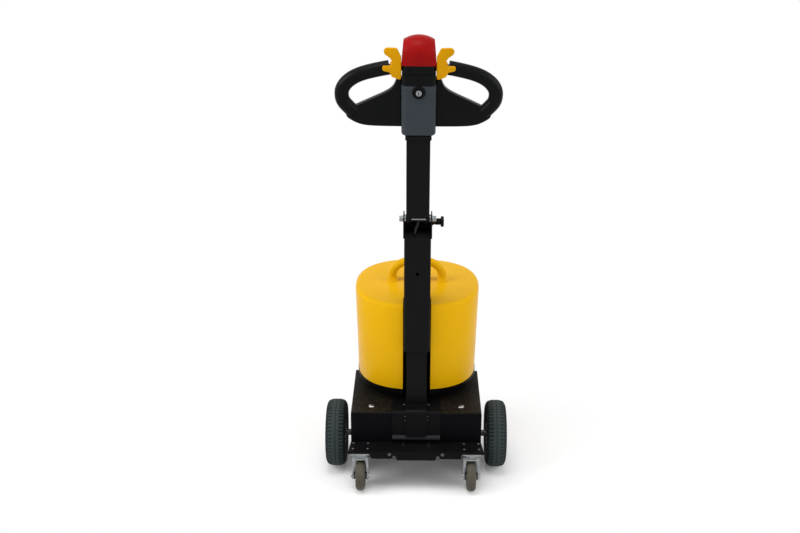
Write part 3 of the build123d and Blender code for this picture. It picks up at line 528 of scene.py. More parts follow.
def place(obj, body, slot, stands_for=(), look=None):
    """Gives a piece its finish, its body and the CAD nodes that it stands for."""
    if not obj.data.materials:
        obj.data.materials.append(FINISHES[look or slot])
    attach(obj, body)
    if stands_for:
        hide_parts(*stands_for)


def piece(name, parts, body, slot, stands_for=(), look=None):
    """Piece from (mesh, matrix) pairs, placed on its body."""
    place(new_piece(name, joined(name, parts)), body, slot, stands_for, look)


def joined(name, parts):
    """One mesh from (mesh, matrix) pairs."""
    bm = bmesh.new()
    for mesh, matrix in parts:
        first = len(bm.verts)
        bm.from_mesh(mesh)
        bm.verts.ensure_lookup_table()
        bmesh.ops.transform(bm, matrix=matrix, verts=bm.verts[first:])
    result = bpy.data.meshes.new(name)
    bm.to_mesh(result)
    bm.free()
    return result


def smoothed(mesh, degrees=35):
    """Smooth shading up to an angle, and sharp edges past it."""
    mesh.shade_smooth()
    mesh.set_sharp_from_angle(angle=math.radians(degrees))
    return mesh


def made_mesh(bm, name, degrees=35):
    """Smoothed mesh from a bmesh that is then given up."""
    mesh = bpy.data.meshes.new(name)
    bm.to_mesh(mesh)
    bm.free()
    return smoothed(mesh, degrees)


def lofted(name, rows, ends="capped", degrees=35):
    """Mesh through closed rows of points; its ends are capped, joined to a ring, or left open."""
    bm = bmesh.new()
    loops = [[bm.verts.new(point) for point in row] for row in rows]
    if ends == "ring":
        loops.append(loops[0])
    for near, far in zip(loops, loops[1:]):
        for i in range(len(near)):
            j = (i + 1) % len(near)
            bm.faces.new((near[i], near[j], far[j], far[i]))
    if ends == "capped":
        bm.faces.new(loops[0])
        bm.faces.new(loops[-1])
    if ends != "open":
        bmesh.ops.recalc_face_normals(bm, faces=bm.faces)
    return made_mesh(bm, name, degrees)


def turns(count):
    """Angles of one full turn in equal steps."""
    return [2 * math.pi * i / count for i in range(count)]


def ring_radius(kind, radius, angle):
    """Radius of a round ring, or of a hexagon with its flats at that distance, at an angle."""
    if kind == "round":
        return radius
    turn = (angle + math.pi / 6) % (math.pi / 3) - math.pi / 6
    return radius / math.cos(turn)


def ringed_mesh(name, rings, steps=24):
    """Solid about Z through (kind, radius, height) rings, closed at both ends."""
    rows = []
    for kind, radius, height in rings:
        spokes = [(ring_radius(kind, radius, angle), angle) for angle in turns(steps)]
        rows.append([(r * math.cos(angle), r * math.sin(angle), height) for r, angle in spokes])
    return lofted(name, rows)


def lathe(name, rows, radius=1.0, height=1.0, steps=24):
    """Round solid about Z from rows of shares of a radius and of a height."""
    return ringed_mesh(name, [("round", radius * r, height * h) for r, h in rows], steps)


def ring_mesh(name, profile, steps):
    """Ring about X from a closed profile of (along, radius) points."""
    rows = [[(a, r * math.cos(angle), r * math.sin(angle)) for a, r in profile] for angle in turns(steps)]
    return lofted(name, rows, "ring")


def prism_mesh(name, plan, bottom, top):
    """Solid over a closed plan of (x, y) points."""
    return lofted(name, [[(x, y, z) for x, y in plan] for z in (bottom, top)])


def strip_mesh(name, section, left, right):
    """Solid along X with a closed section of (y, z) points."""
    mesh = prism_mesh(name, section, left, right)
    mesh.transform(Matrix(((0, 0, 1, 0), (1, 0, 0, 0), (0, 1, 0, 0), (0, 0, 0, 1))))
    return mesh


def tube_mesh(name, points, radius, steps=16):
    """Round tube along points, closed at its ends."""
    rows = []
    for i, point in enumerate(points):
        along = (points[min(i + 1, len(points) - 1)] - points[max(i - 1, 0)]).normalized()
        side = along.cross(AHEAD).normalized()
        other = along.cross(side)
        rows.append([point + radius * (math.cos(a) * side + math.sin(a) * other) for a in turns(steps)])
    return lofted(name, rows)


def rectangle(left, right, low, high):
    """Corners of a rectangle in order."""
    return [(left, low), (right, low), (right, high), (left, high)]


def rounded_outline(points, radius):
    """Closed 2-D outline with its corners rounded."""
    steps, longest_share = 4, 0.45
    result = []
    for before, corner, after in zip(points[-1:] + points[:-1], points, points[1:] + points[:1]):
        corner = Vector(corner)
        a, b = (Vector(before) - corner), (Vector(after) - corner)
        half = a.angle(b) / 2
        reach = min(radius / math.tan(half), a.length * longest_share, b.length * longest_share)
        start, end = corner + a.normalized() * reach, corner + b.normalized() * reach
        for i in range(steps + 1):
            t = i / steps
            result.append(start * (1 - t) ** 2 + corner * 2 * t * (1 - t) + end * t * t)
    return result


def plate_mesh(name, outline, front, back, edge, segments=3):
    """Plate in the XZ plane from y = front to y = back, with its rims rounded."""
    bm = bmesh.new()
    face = bm.faces.new([bm.verts.new((p[0], front, p[1])) for p in outline])
    made = bmesh.ops.extrude_face_region(bm, geom=[face])
    moved = [v for v in made["geom"] if isinstance(v, bmesh.types.BMVert)]
    bmesh.ops.translate(bm, verts=moved, vec=(0, back - front, 0))
    bmesh.ops.recalc_face_normals(bm, faces=bm.faces)
    rims = [e for e in bm.edges if abs(e.verts[0].co.y - e.verts[1].co.y) < 1e-7]
    bmesh.ops.bevel(bm, geom=rims, offset=edge, segments=segments, profile=0.5, affect="EDGES")
    return made_mesh(bm, name)


def turned_to(axis):
    """Rotation that takes +Z to an axis."""
    return Vector(axis).to_track_quat("Z", "Y").to_matrix().to_4x4()


def spline_points(route):
    """Points read from the smooth spline whose control points are the route."""
    data = bpy.data.curves.new("route", "CURVE")
    data.dimensions = "3D"
    data.resolution_u = 10
    spline = data.splines.new("NURBS")
    spline.points.add(len(route) - 1)
    for point, spot in zip(spline.points, route):
        point.co = (*spot, 1)
    spline.order_u = 3
    spline.use_endpoint_u = True
    obj = new_piece("route", data)
    graph = bpy.context.evaluated_depsgraph_get()
    mesh = bpy.data.meshes.new_from_object(obj.evaluated_get(graph))
    points = [v.co.copy() for v in mesh.vertices]
    bpy.data.objects.remove(obj)
    return points


def node_tree(name, inputs):
    """Empty geometry tree with named inputs; gives the tree, its input and its output."""
    tree = bpy.data.node_groups.new(name, "GeometryNodeTree")
    tree.interface.new_socket("Geometry", in_out="OUTPUT", socket_type="NodeSocketGeometry")
    for label, kind in inputs:
        tree.interface.new_socket(label, in_out="INPUT", socket_type="NodeSocket" + kind)
    return tree, tree.nodes.new("NodeGroupInput"), tree.nodes.new("NodeGroupOutput")


def copies_on(tree, points, shape, turn):
    """Instances of an object on points, each with its turn."""
    info = add(tree, "GeometryNodeObjectInfo")
    copies = add(tree, "GeometryNodeInstanceOnPoints")
    for value, socket in ((shape, info.inputs["Object"]), (points, copies.inputs["Points"]),
                          (info.outputs["Geometry"], copies.inputs["Instance"]),
                          (turn, copies.inputs["Rotation"])):
        tree.links.new(value, socket)
    return copies.outputs["Instances"]


def end_tree(tree, instances, inside, out):
    """Real meshes, merged where they meet, in one finish."""
    real = add(tree, "GeometryNodeRealizeInstances")
    tree.links.new(instances, real.inputs["Geometry"])
    merged = add(tree, "GeometryNodeMergeByDistance")
    merged.inputs["Distance"].default_value = 1e-6
    tree.links.new(real.outputs["Geometry"], merged.inputs["Geometry"])
    dressed = add(tree, "GeometryNodeSetMaterial")
    tree.links.new(merged.outputs["Geometry"], dressed.inputs["Geometry"])
    tree.links.new(inside.outputs["Finish"], dressed.inputs["Material"])
    tree.links.new(dressed.outputs["Geometry"], out.inputs["Geometry"])


def make_field_tree():
    """A fastener on each point, turned to the point's facing."""
    tree, inside, out = node_tree("fastener_field",
                                  (("Points", "Geometry"), ("Fastener", "Object"), ("Finish", "Material")))
    facing = add(tree, "GeometryNodeInputNamedAttribute", data_type="FLOAT_VECTOR")
    facing.inputs["Name"].default_value = "facing"
    turn = add(tree, "FunctionNodeAlignRotationToVector", axis="Z")
    tree.links.new(facing.outputs["Attribute"], turn.inputs["Vector"])
    copies = copies_on(tree, inside.outputs["Points"], inside.outputs["Fastener"], turn.outputs["Rotation"])
    end_tree(tree, copies, inside, out)
    return tree


def make_ring_tree():
    """Copies of one piece turned round an axis through the origin, then moved to a centre."""
    tree, inside, out = node_tree("ring_of_copies",
                                  (("Copy", "Object"), ("Count", "Int"), ("Axis", "Vector"),
                                   ("Centre", "Vector"), ("Finish", "Material")))
    link = tree.links.new
    points = add(tree, "GeometryNodePoints")
    link(inside.outputs["Count"], points.inputs["Count"])
    step = maths(tree, 2 * math.pi, inside.outputs["Count"], "DIVIDE")
    turn = add(tree, "FunctionNodeAxisAngleToRotation")
    link(inside.outputs["Axis"], turn.inputs["Axis"])
    link(maths(tree, add(tree, "GeometryNodeInputIndex").outputs["Index"], step), turn.inputs["Angle"])
    copies = copies_on(tree, points.outputs[0], inside.outputs["Copy"], turn.outputs["Rotation"])
    shift = add(tree, "GeometryNodeTranslateInstances")
    shift.inputs["Local Space"].default_value = False
    link(copies, shift.inputs["Instances"])
    link(inside.outputs["Centre"], shift.inputs["Translation"])
    end_tree(tree, shift.outputs["Instances"], inside, out)
    return tree


TREES = {}


def grown(name, host_mesh, tree, values):
    """Plain mesh object that a geometry tree makes from a host mesh and its named inputs."""
    host = new_piece(name + ".host", host_mesh)
    modifier = host.modifiers.new("nodes", "NODES")
    modifier.node_group = TREES[tree]
    for item in TREES[tree].interface.items_tree:
        if item.in_out == "INPUT" and item.name in values:
            modifier[item.identifier] = values[item.name]
    graph = bpy.context.evaluated_depsgraph_get()
    mesh = bpy.data.meshes.new_from_object(host.evaluated_get(graph))
    mesh.name = name
    mesh.materials.clear()
    mesh.materials.append(values["Finish"])
    mesh.polygons.foreach_set("material_index", [0] * len(mesh.polygons))
    bpy.data.objects.remove(host)
    return new_piece(name, smoothed(mesh))


def fastened(name, fastener, spots, body, slot, look=None):
    """A fastener at each (spot, facing)."""
    mesh = bpy.data.meshes.new(name + ".points")
    mesh.from_pydata([spot for spot, _ in spots], [], [])
    mesh.attributes.new("facing", "FLOAT_VECTOR", "POINT")
    mesh.attributes["facing"].data.foreach_set("vector", [c for _, way in spots for c in way])
    shape = new_piece(name + ".shape", fastener)
    obj = grown(name, mesh, "field", {"Fastener": shape, "Finish": FINISHES[look or slot]})
    bpy.data.objects.remove(shape)
    place(obj, body, slot)


def ring_of(name, copy, count, centre, body, slot, stands_for=()):
    """Copies of a mesh round an axis along X."""
    shape = new_piece(name + ".shape", copy)
    obj = grown(name, bpy.data.meshes.new(name + ".points"), "ring",
                {"Copy": shape, "Count": count, "Axis": tuple(RIGHT), "Centre": tuple(centre),
                 "Finish": FINISHES[slot]})
    bpy.data.objects.remove(shape)
    place(obj, body, slot, stands_for)


def dome_head(radius, height):
    """Round button head with a soft edge."""
    return lathe("dome_head", ((1, 0), (1, 0.15), (0.96, 0.4), (0.82, 0.7), (0.55, 0.92), (0.2, 1)),
                 radius, height)


def hex_head(across, height, washer):
    """Chamfered hexagon head on a washer of the given radius."""
    seat = height * 0.24
    return ringed_mesh("hex_head", [
        ("round", washer, 0), ("round", washer, height * 0.18), ("round", washer * 0.93, seat),
        ("hex", across / 2, seat), ("hex", across / 2, height * 0.86), ("round", across * 0.46, height),
        ("round", across * 0.2, height)])


class FinishOperator(bpy.types.Operator):
    """Finishes on every CAD node, and the trees that repeat small pieces"""
    bl_idname = "tug.finishes"
    bl_label = "Finishes"

    def execute(self, context):
        make_finishes(context.scene.tug_finish)
        TREES.update(field=make_field_tree(), ring=make_ring_tree())
        paint_nodes()
        return {"FINISHED"}


# Section of the stop on the clevis web, in mm from the clevis's front face and up from its floor
WEB_STOP = ((-3.6, 14.0), (-4.4, 16.0), (-4.4, 20.5), (-2.6, 21.5), (0.0, 20.5), (0.0, 15.2), (-2.4, 15.2),
            (-2.6, 14.0))


class JointOperator(bpy.types.Operator):
    """Pivot bolt, cheeks, web stop, painted shade and highlight, index plunger and control cable of the folding
    joint
    """
    bl_idname = "tug.joint"
    bl_label = "Folding Joint"

    def execute(self, context):
        s = context.scene.tug_joint
        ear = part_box("mast_clevis")[1].x
        self.pivot_bolt(s, ear)
        self.cheeks(s)
        self.clevis_stop_and_shade(ear)
        self.bare_edge(s)
        self.plunger(s, ear)
        self.cable(s)
        return {"FINISHED"}

    def pivot_bolt(self, s, ear):
        """Hexagon head and nut on washers, the bush between the lugs and the spacers beside them."""
        at = Matrix.Translation(PIVOT)
        washer, tube_gap, ear_sheet, chamfer = s.bolt_across * 0.62, 0.0033, 0.0025, 0.0006
        head = hex_head(s.bolt_across, s.bolt_head, washer)
        shank = lathe("shank", ((1, -1), (1, 1)), s.bolt_dia / 2, ear, 32)
        bush = lathe("bush", ((0.9, -1), (1, -0.94), (1, 0.94), (0.9, 1)), s.bush_dia / 2,
                     s.bush_length / 2, 40)
        inner, outer = s.tube_inside + tube_gap, ear - ear_sheet
        spacer = lathe("spacer", ((0.94, inner), (1, inner + chamfer), (1, outer)), s.spacer_dia / 2,
                       steps=40)
        parts = [(head, at @ Matrix.Translation((side * ear, 0, 0)) @ turned_to((side, 0, 0)))
                 for _, side in SIDES]
        parts += [(mesh, at @ turned_to(RIGHT)) for mesh in (shank, bush)]
        parts += [(spacer, at @ turned_to((side, 0, 0))) for _, side in SIDES]
        piece("pivot_bolt_set", parts, "chassis", "zinc", ("pivot_bolt",))

    def cheeks(self, s):
        """Thick cheeks inside the upper tube's lugs."""
        thick, chamfer, overlap = 0.0075, 0.0006, 0.0001
        cheek = lathe("cheek", ((0.95, 0), (1, chamfer), (1, thick)), s.cheek_radius, steps=40)
        start = s.tube_inside - thick + overlap
        parts = [(cheek, HEAD @ Matrix.Translation((side * start, 0, 0)) @ turned_to((side, 0, 0)))
                 for _, side in SIDES]
        piece("lug_cheeks", parts, "tiller", "mast_paint")

    def clevis_stop_and_shade(self, ear):
        """Stop on the clevis web, and a dark sheet on its floor as painted shade."""
        low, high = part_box("mast_clevis")
        floor_sheet, ear_sheet, shade_lift, shade_top, shade_back = 0.003, 0.0027, 0.0001, 0.001, 0.001
        floor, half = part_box("lower_mast")[1].z + floor_sheet, ear - ear_sheet
        stop = [(high.y + y * MM, floor + z * MM) for y, z in WEB_STOP]
        place(new_piece("web_stop", strip_mesh("web_stop", stop, -half, half)), "chassis", "tray_black")
        mat = prism_mesh("clevis_mat", rectangle(-half, half, low.y + shade_back, high.y - ear_sheet),
                         floor + shade_lift, floor + shade_top)
        place(new_piece("clevis_mat", mat), "chassis", "tray_black")

    def bare_edge(self, s):
        """Bright zinc strip painted as the highlight along the upper tube's lower edge."""
        wall, proud, corner, edge = 0.0030, 0.0003, 0.001, 0.0001
        front = -s.tube_inside - wall
        left, right, low, high = -0.014, 0.018, 0.0096, 0.0122
        outline = rounded_outline(rectangle(left, right, low, high), corner)
        highlight_strip = plate_mesh("bare_edge", outline, front, front - proud, edge, 1)
        piece("bare_edge", [(highlight_strip, HEAD)], "tiller", "zinc")

    def plunger(self, s, ear):
        """Hexagon collar, knurled barrel and flanged pull."""
        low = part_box("index_plunger")[0]
        centre = middle("index_plunger")
        stem, collar, neck, knurl = 0.0039, 0.0080, s.barrel - 0.0006, 0.0006
        reach, pull = s.plunger_reach, s.pull
        # Kind, radius and distance from the ear
        rings = [("round", stem, low.x - ear), ("round", stem, 0), ("hex", collar, 0.0001),
                 ("hex", collar, 0.0034), ("round", collar * 0.95, 0.004), ("round", neck, 0.0042),
                 ("round", neck, 0.006), ("round", s.barrel, 0.0066), ("round", s.barrel, reach - 0.0078),
                 ("round", pull * 0.94, reach - 0.0072), ("round", pull, reach - 0.0062),
                 ("round", pull, reach - 0.0016), ("round", pull * 0.9, reach - 0.0004),
                 ("round", pull * 0.4, reach)]
        spot = Vector((ear, centre.y, centre.z))
        body = ringed_mesh("plunger", rings, 48)
        piece("plunger_body", [(body, Matrix.Translation(spot) @ turned_to(RIGHT))], "chassis",
              "handle_black", ("index_plunger",))
        rib = lathe("knurl", ((1, 0.0075), (1, reach - 0.0086)), knurl, steps=6)
        rib = joined("knurl", [(rib, turned_to(RIGHT) @ Matrix.Translation((s.barrel - 0.0002, 0, 0)))])
        ring_of("plunger_knurl", rib, s.knurls, spot, "chassis", "handle_black")

    def cable(self, s):
        """Cable from the sleeve up into the upper mast, on one smooth spline."""
        x, y, z = s.cable_left, PIVOT.y - s.cable_back, PIVOT.z
        route = [(x, y, z - s.cable_below), (x, y, z - s.cable_below / 2), (x + s.cable_drift, y, z),
                 (x + s.cable_drift, y, z + s.cable_above)]
        points = spline_points(route)
        obj = new_piece("control_lead", tube_mesh("cable", points, s.cable_dia / 2))
        obj.data.materials.append(FINISHES["cable_sheath"])
        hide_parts("control_cable")
        length = sum((b - a).length for a, b in zip(points, points[1:]))
        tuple(points[0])
        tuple(points[len(points) // 4])
        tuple(points[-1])
        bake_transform(obj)


# Right half of the drive tyre's section, in shares of half its width and of its height above the rim
TYRE_WALL = ((0.58, 0.0), (0.76, 0.12), (0.87, 0.19), (0.955, 0.30), (0.995, 0.42), (0.99, 0.55),
             (0.95, 0.66), (0.895, 0.735), (0.875, 0.755), (0.86, 0.80), (0.80, 0.86), (0.70, 0.91),
             (0.56, 0.95), (0.44, 0.975), (0.28, 0.995), (0.12, 1.0), (0.045, 1.0))


class TyreOperator(bpy.types.Operator):
    """Drive tyres with their sipes and centre groove"""
    bl_idname = "tug.tyres"
    bl_label = "Tyres"

    def execute(self, context):
        s = context.scene.tug_wheel
        for side, _ in SIDES:
            ring_of(f"tyre_tread_{side}", self.segment(s), s.pitches, middle(f"tyre_{side}"),
                    f"drive_wheel_{side}", "tyre_rubber", (f"tyre_{side}",))
        return {"FINISHED"}

    def segment(self, s):
        """One pitch of the tyre, with a sipe over each shoulder."""
        shoulder_out, shoulder_up, groove_half, seat_gap = 0.43, 0.70, 0.03, 0.0001
        low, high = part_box("tyre_left")
        reach, half = (high.z - low.z) / 2, (high.x - low.x) / 2
        rim_low, rim_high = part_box("rim_left")
        seat = (rim_high.z - rim_low.z) / 2 + seat_gap
        flank = [(a * half, seat + b * (reach - seat)) for a, b in TYRE_WALL]
        groove = [(side * groove_half * half, reach - s.groove_depth) for side in (1, -1)]
        profile = flank + groove + [(-a, r) for a, r in reversed(flank)]
        pitch = 2 * math.pi / s.pitches
        cut = s.sipe_width / reach / pitch
        # Each step along the pitch, and whether it lies at the bottom of the sipe
        steps = ((0.0, False), (0.5 - cut, False), (0.5 - cut / 2, True), (0.5 + cut / 2, True),
                 (0.5 + cut, False), (1.0, False))
        rows = []
        for share, deep in steps:
            row = []
            for a, r in profile:
                if deep and abs(a) > shoulder_out * half and r > seat + shoulder_up * (reach - seat):
                    r -= s.sipe_depth
                row.append((a, r * math.cos(share * pitch), r * math.sin(share * pitch)))
            rows.append(row)
        return lofted("tyre_pitch", rows, "open")


# Half of the castor tread's section, in shares of half its width and of its radius
CASTOR_CROWN = ((1.0, 0.75), (0.985, 0.79), (0.94, 0.84), (0.86, 0.885), (0.74, 0.928), (0.58, 0.962),
                (0.38, 0.985), (0.16, 0.998), (0.0, 1.0))


# Width across the flats, height and washer's radius of the larger bolts
HUB_BOLT, HITCH_BOLT, CASE_BOLT = (0.010, 0.0045, 0.0068), (0.010, 0.0045, 0.0065), (0.009, 0.004, 0.006)


class WheelOperator(bpy.types.Operator):
    """Hub bolts, caps and axle bolts of drive wheels and castors"""
    bl_idname = "tug.wheels"
    bl_label = "Wheel Hardware"

    def execute(self, context):
        s = context.scene.tug_wheel
        for label, side in SIDES:
            self.hub(s, label, side)
            axle, fork_top = middle(f"castor_axle_{label}"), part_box(f"castor_fork_{label}")[1].z
            wheel = middle(f"castor_hub_{label}")
            self.axle_bolt(label, axle)
            self.race(s, label, fork_top)
            self.ribs(s, label, wheel)
            self.tread(label, wheel)
            self.flanges(label, axle, fork_top)
        return {"FINISHED"}

    def hub(self, s, label, side):
        """Bolt circle on both faces of a rim's web, and its centre cap."""
        web_half, cap_out, cap_height = 0.004, 0.0185, 0.005
        rim, out = middle(f"rim_{label}"), Vector((side, 0, 0))
        body = f"drive_wheel_{label}"
        spots = []
        for a in turns(s.hub_bolts):
            ring = Vector((0, s.bolt_circle * math.cos(a), s.bolt_circle * math.sin(a)))
            spots += [(rim + ring + out * web_half, out), (rim + ring - out * web_half, -out)]
        fastened(f"hub_bolts_{label}", hex_head(*HUB_BOLT), spots, body, "zinc")
        cap = lathe("cap", ((1, 0), (1, 0.2), (0.94, 0.5), (0.8, 0.62), (0.76, 0.45), (0.5, 0.45),
                            (0.44, 0.8), (0.2, 1)), s.cap_radius, cap_height, 40)
        piece(f"hub_cap_{label}", [(cap, Matrix.Translation(rim + out * cap_out) @ turned_to(out))], body,
              "tray_black")

    def axle_bolt(self, label, axle):
        """Axle bolt and nut of a castor."""
        nut, across, washer, shank_radius = 0.0035, 0.0122, 0.0069, 0.004
        low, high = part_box(f"castor_axle_{label}")
        reach = (high.x - low.x) / 2 - nut
        head = hex_head(across, nut, washer)
        shank = lathe("shank", ((1, -1), (1, 1)), shank_radius, reach)
        parts = [(head, Matrix.Translation(axle + Vector((end * reach, 0, 0))) @ turned_to((end, 0, 0)))
                 for _, end in SIDES]
        parts.append((shank, Matrix.Translation(axle) @ turned_to(RIGHT)))
        piece(f"castor_bolt_{label}", parts, f"castor_{label}", "zinc", (f"castor_axle_{label}",))

    def race(self, s, label, fork_top):
        """Ball race between a castor's plate and its fork."""
        plate_sheet = 0.004
        centre = middle(f"castor_plate_{label}")
        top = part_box(f"castor_plate_{label}")[1].z - plate_sheet
        race = lathe("race", ((1.06, 0), (1.1, 0.12), (1.1, 0.3), (1.0, 0.42), (1.0, 0.56), (1.1, 0.66),
                              (1.1, 0.86), (1.02, 0.96)), s.race_radius, fork_top - top, 40)
        at = Matrix.Translation((centre.x, centre.y, top))
        piece(f"castor_race_{label}", [(race, at)], "chassis", "zinc")

    def ribs(self, s, label, wheel):
        """Ribs on both faces of a castor wheel's core."""
        hub, rim, hub_reach, rim_reach = 0.0095, 0.0235, 0.0062, 0.0066
        corner, half, edge = 0.0008, 0.0009, 0.0004
        outline = rounded_outline([(0.0, hub), (hub_reach, hub), (rim_reach, rim), (0.0, rim)], corner)
        rib = plate_mesh("rib", outline, -half, half, edge, 2)
        both = joined("ribs", [(rib, Matrix.Identity(4)), (rib, Matrix.Rotation(math.pi, 4, "Z"))])
        ring_of(f"castor_ribs_{label}", both, s.castor_ribs, wheel, f"castor_wheel_{label}", "castor_core")

    def tread(self, label, wheel):
        """Rounded tread of a castor wheel."""
        low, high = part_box(f"castor_tread_{label}")
        reach, half = (high.z - low.z) / 2, (high.x - low.x) / 2
        flank = [(a * half, r * reach) for a, r in CASTOR_CROWN]
        ring = ring_mesh("tread", flank + [(-a, r) for a, r in reversed(flank[:-1])], 72)
        piece(f"castor_tyre_{label}", [(ring, Matrix.Translation(wheel))], f"castor_wheel_{label}",
              "castor_rubber", (f"castor_tread_{label}",))

    def flanges(self, label, axle, top):
        """Folded rear edges of a castor fork's legs."""
        foot, back, slant, drop = 0.014, 0.0075, 0.010, 0.004
        inner, outer, corner, sheet, edge = 0.0122, 0.0190, 0.0015, 0.0016, 0.0005
        length = top - axle.z - foot
        at = (Matrix.Translation((axle.x, axle.y - back, axle.z + foot))
              @ Matrix.Rotation(-math.atan2(slant, top - axle.z), 4, "X"))
        parts = []
        for _, side in SIDES:
            rim = [(side * inner, 0.0), (side * outer, -drop), (side * outer, length), (side * inner, length)]
            parts.append((plate_mesh("flange", rounded_outline(rim, corner), 0.0, sheet, edge, 2), at))
        piece(f"castor_flange_{label}", parts, f"castor_{label}", "zinc")


# Fasteners right of the middle on level faces: sideways, and ahead of the drive axle
HOOD_SPOTS = ((0.106, -0.0585),)
FLANGE_SPOTS = ((0.030, -0.094), (0.030, -0.107))
SADDLE_SPOTS = ((0.0285, -0.056), (0.0285, 0.002))
CASE_SPOTS = ((0.046, -0.048), (0.046, 0.008), (0.016, -0.048), (0.016, 0.008))
# Fasteners right of the middle on upright faces: sideways, and up from the floor, deck or hood
STRAP_SPOTS = ((0.0262, 0.1745), (0.0262, 0.164))
LIP_SPOTS = ((0.062, -0.0062), (0.0512, -0.0138))
HITCH_SPOTS = ((0.020, -0.010), (0.020, -0.026))
# Castor screws: sideways from the castor's plate, and ahead of the drive axle
CASTOR_OUT, CASTOR_ALONG = 0.0172, (-0.1235, -0.0965)
# Height of the single near-black disc painted as a hole's shade, and heights of the rivets, on the sleeve's rear
# face
HOLE_HEIGHT, RIVET_HEIGHTS = 0.521, (0.373, 0.3575)
# Radius and height of their heads
HOLE_HEAD, RIVET_HEAD = (0.0040, 0.0006), (0.0026, 0.0007)


class FastenerOperator(bpy.types.Operator):
    """Bolts, screws, nuts, rivets and weld beads on chassis and mast"""
    bl_idname = "tug.fasteners"
    bl_label = "Fasteners"

    def execute(self, context):
        s = context.scene.tug_fastener
        strap_lip, hitch_web = 0.005, 0.006
        saddle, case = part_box("saddle_plate")[1].z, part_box("transaxle")[0].z
        lip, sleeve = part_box("base_plate")[0].y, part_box("lower_mast")[0].y
        strap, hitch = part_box("mast_strap")[0].y + strap_lip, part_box("tow_hitch")[0].y + hitch_web
        castors = [middle(f"castor_plate_{label}").x for label, _ in SIDES]
        castor_spots = [(Vector((x + out * CASTOR_OUT, AXLE.y + along, DECK)), UP)
                        for x in castors for out in (-1, 1) for along in CASTOR_ALONG]
        # Name, head, spots, slot and look of each group
        groups = (
            ("hood_domes", dome_head(s.dome, s.dome * 0.5), self.level(HOOD_SPOTS, HOOD_TOP), "zinc", None),
            ("castor_screws", dome_head(s.screw, s.screw * 0.7), castor_spots, "steel", "oxide"),
            ("flange_screws", dome_head(s.rivet, s.rivet * 0.45), self.level(FLANGE_SPOTS, DECK), "steel",
             "lit_edge_and_screw_grey"),
            ("saddle_screws", dome_head(s.rivet, s.rivet * 0.6), self.level(SADDLE_SPOTS, saddle), "steel",
             "oxide"),
            ("strap_screws", dome_head(s.rivet * 0.5, s.rivet * 0.4),
             self.upright(STRAP_SPOTS, strap, 0.0, BACK), "steel", "oxide"),
            ("lip_nuts", hex_head(s.lip_nut * 2, s.lip_nut * 0.5, s.lip_nut * 1.2),
             self.upright(LIP_SPOTS, lip, DECK, BACK), "zinc", "oxide"),
            ("sleeve_plug", dome_head(*HOLE_HEAD), [(Vector((0, sleeve, HOLE_HEIGHT)), BACK)],
             "tray_black", "hole_shade"),
            ("sleeve_rivets", dome_head(*RIVET_HEAD),
             [(Vector((0, sleeve, z)), BACK) for z in RIVET_HEIGHTS], "mast_paint", None),
            ("hitch_bolts", hex_head(*HITCH_BOLT),
             self.upright(HITCH_SPOTS, hitch, HOOD_TOP, AHEAD), "zinc", None),
            ("case_bolts", hex_head(*CASE_BOLT), self.level(CASE_SPOTS, case, -UP), "steel", None),
        )
        for name, head, spots, slot, look in groups:
            fastened(name, head, spots, "chassis", slot, look)
        self.welds(s)
        return {"FINISHED"}

    def level(self, spots, height, facing=UP):
        """Spots on both sides of a level face."""
        return [(Vector((side * x, AXLE.y + along, height)), facing)
                for _, side in SIDES for x, along in spots]

    def upright(self, spots, face, base, facing):
        """Spots on both sides of an upright face."""
        return [(Vector((side * x, face, base + up)), facing) for _, side in SIDES for x, up in spots]

    def welds(self, s):
        """Weld beads along both sides of the post's foot."""
        low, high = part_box("mast_post")
        half, centre = (high.x - low.x) / 2, (low.y + high.y) / 2
        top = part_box("saddle_plate")[1].z
        lean = 0.12
        count = int(2 * half / s.bead)
        spots = [(Vector((side * half, centre - half + 2 * half * i / count, top)), Vector((side, lean, 1)))
                 for i in range(count + 1) for side in (1, -1)]
        bead = lathe("bead", ((0.9, -0.3), (0.95, 0.1), (0.75, 0.45), (0.35, 0.65)), s.bead, s.bead, 10)
        fastened("post_welds", bead, spots, "chassis", "mast_paint")


# Sections of the drum in mm from its foot, outwards and up
DRUM_FOOT = ((0.0, 0.0), (0.5, 1.0))
DRUM_SKIRT = ((-3.0, -9.0), (0.0, -6.0), (1.0, -0.2))


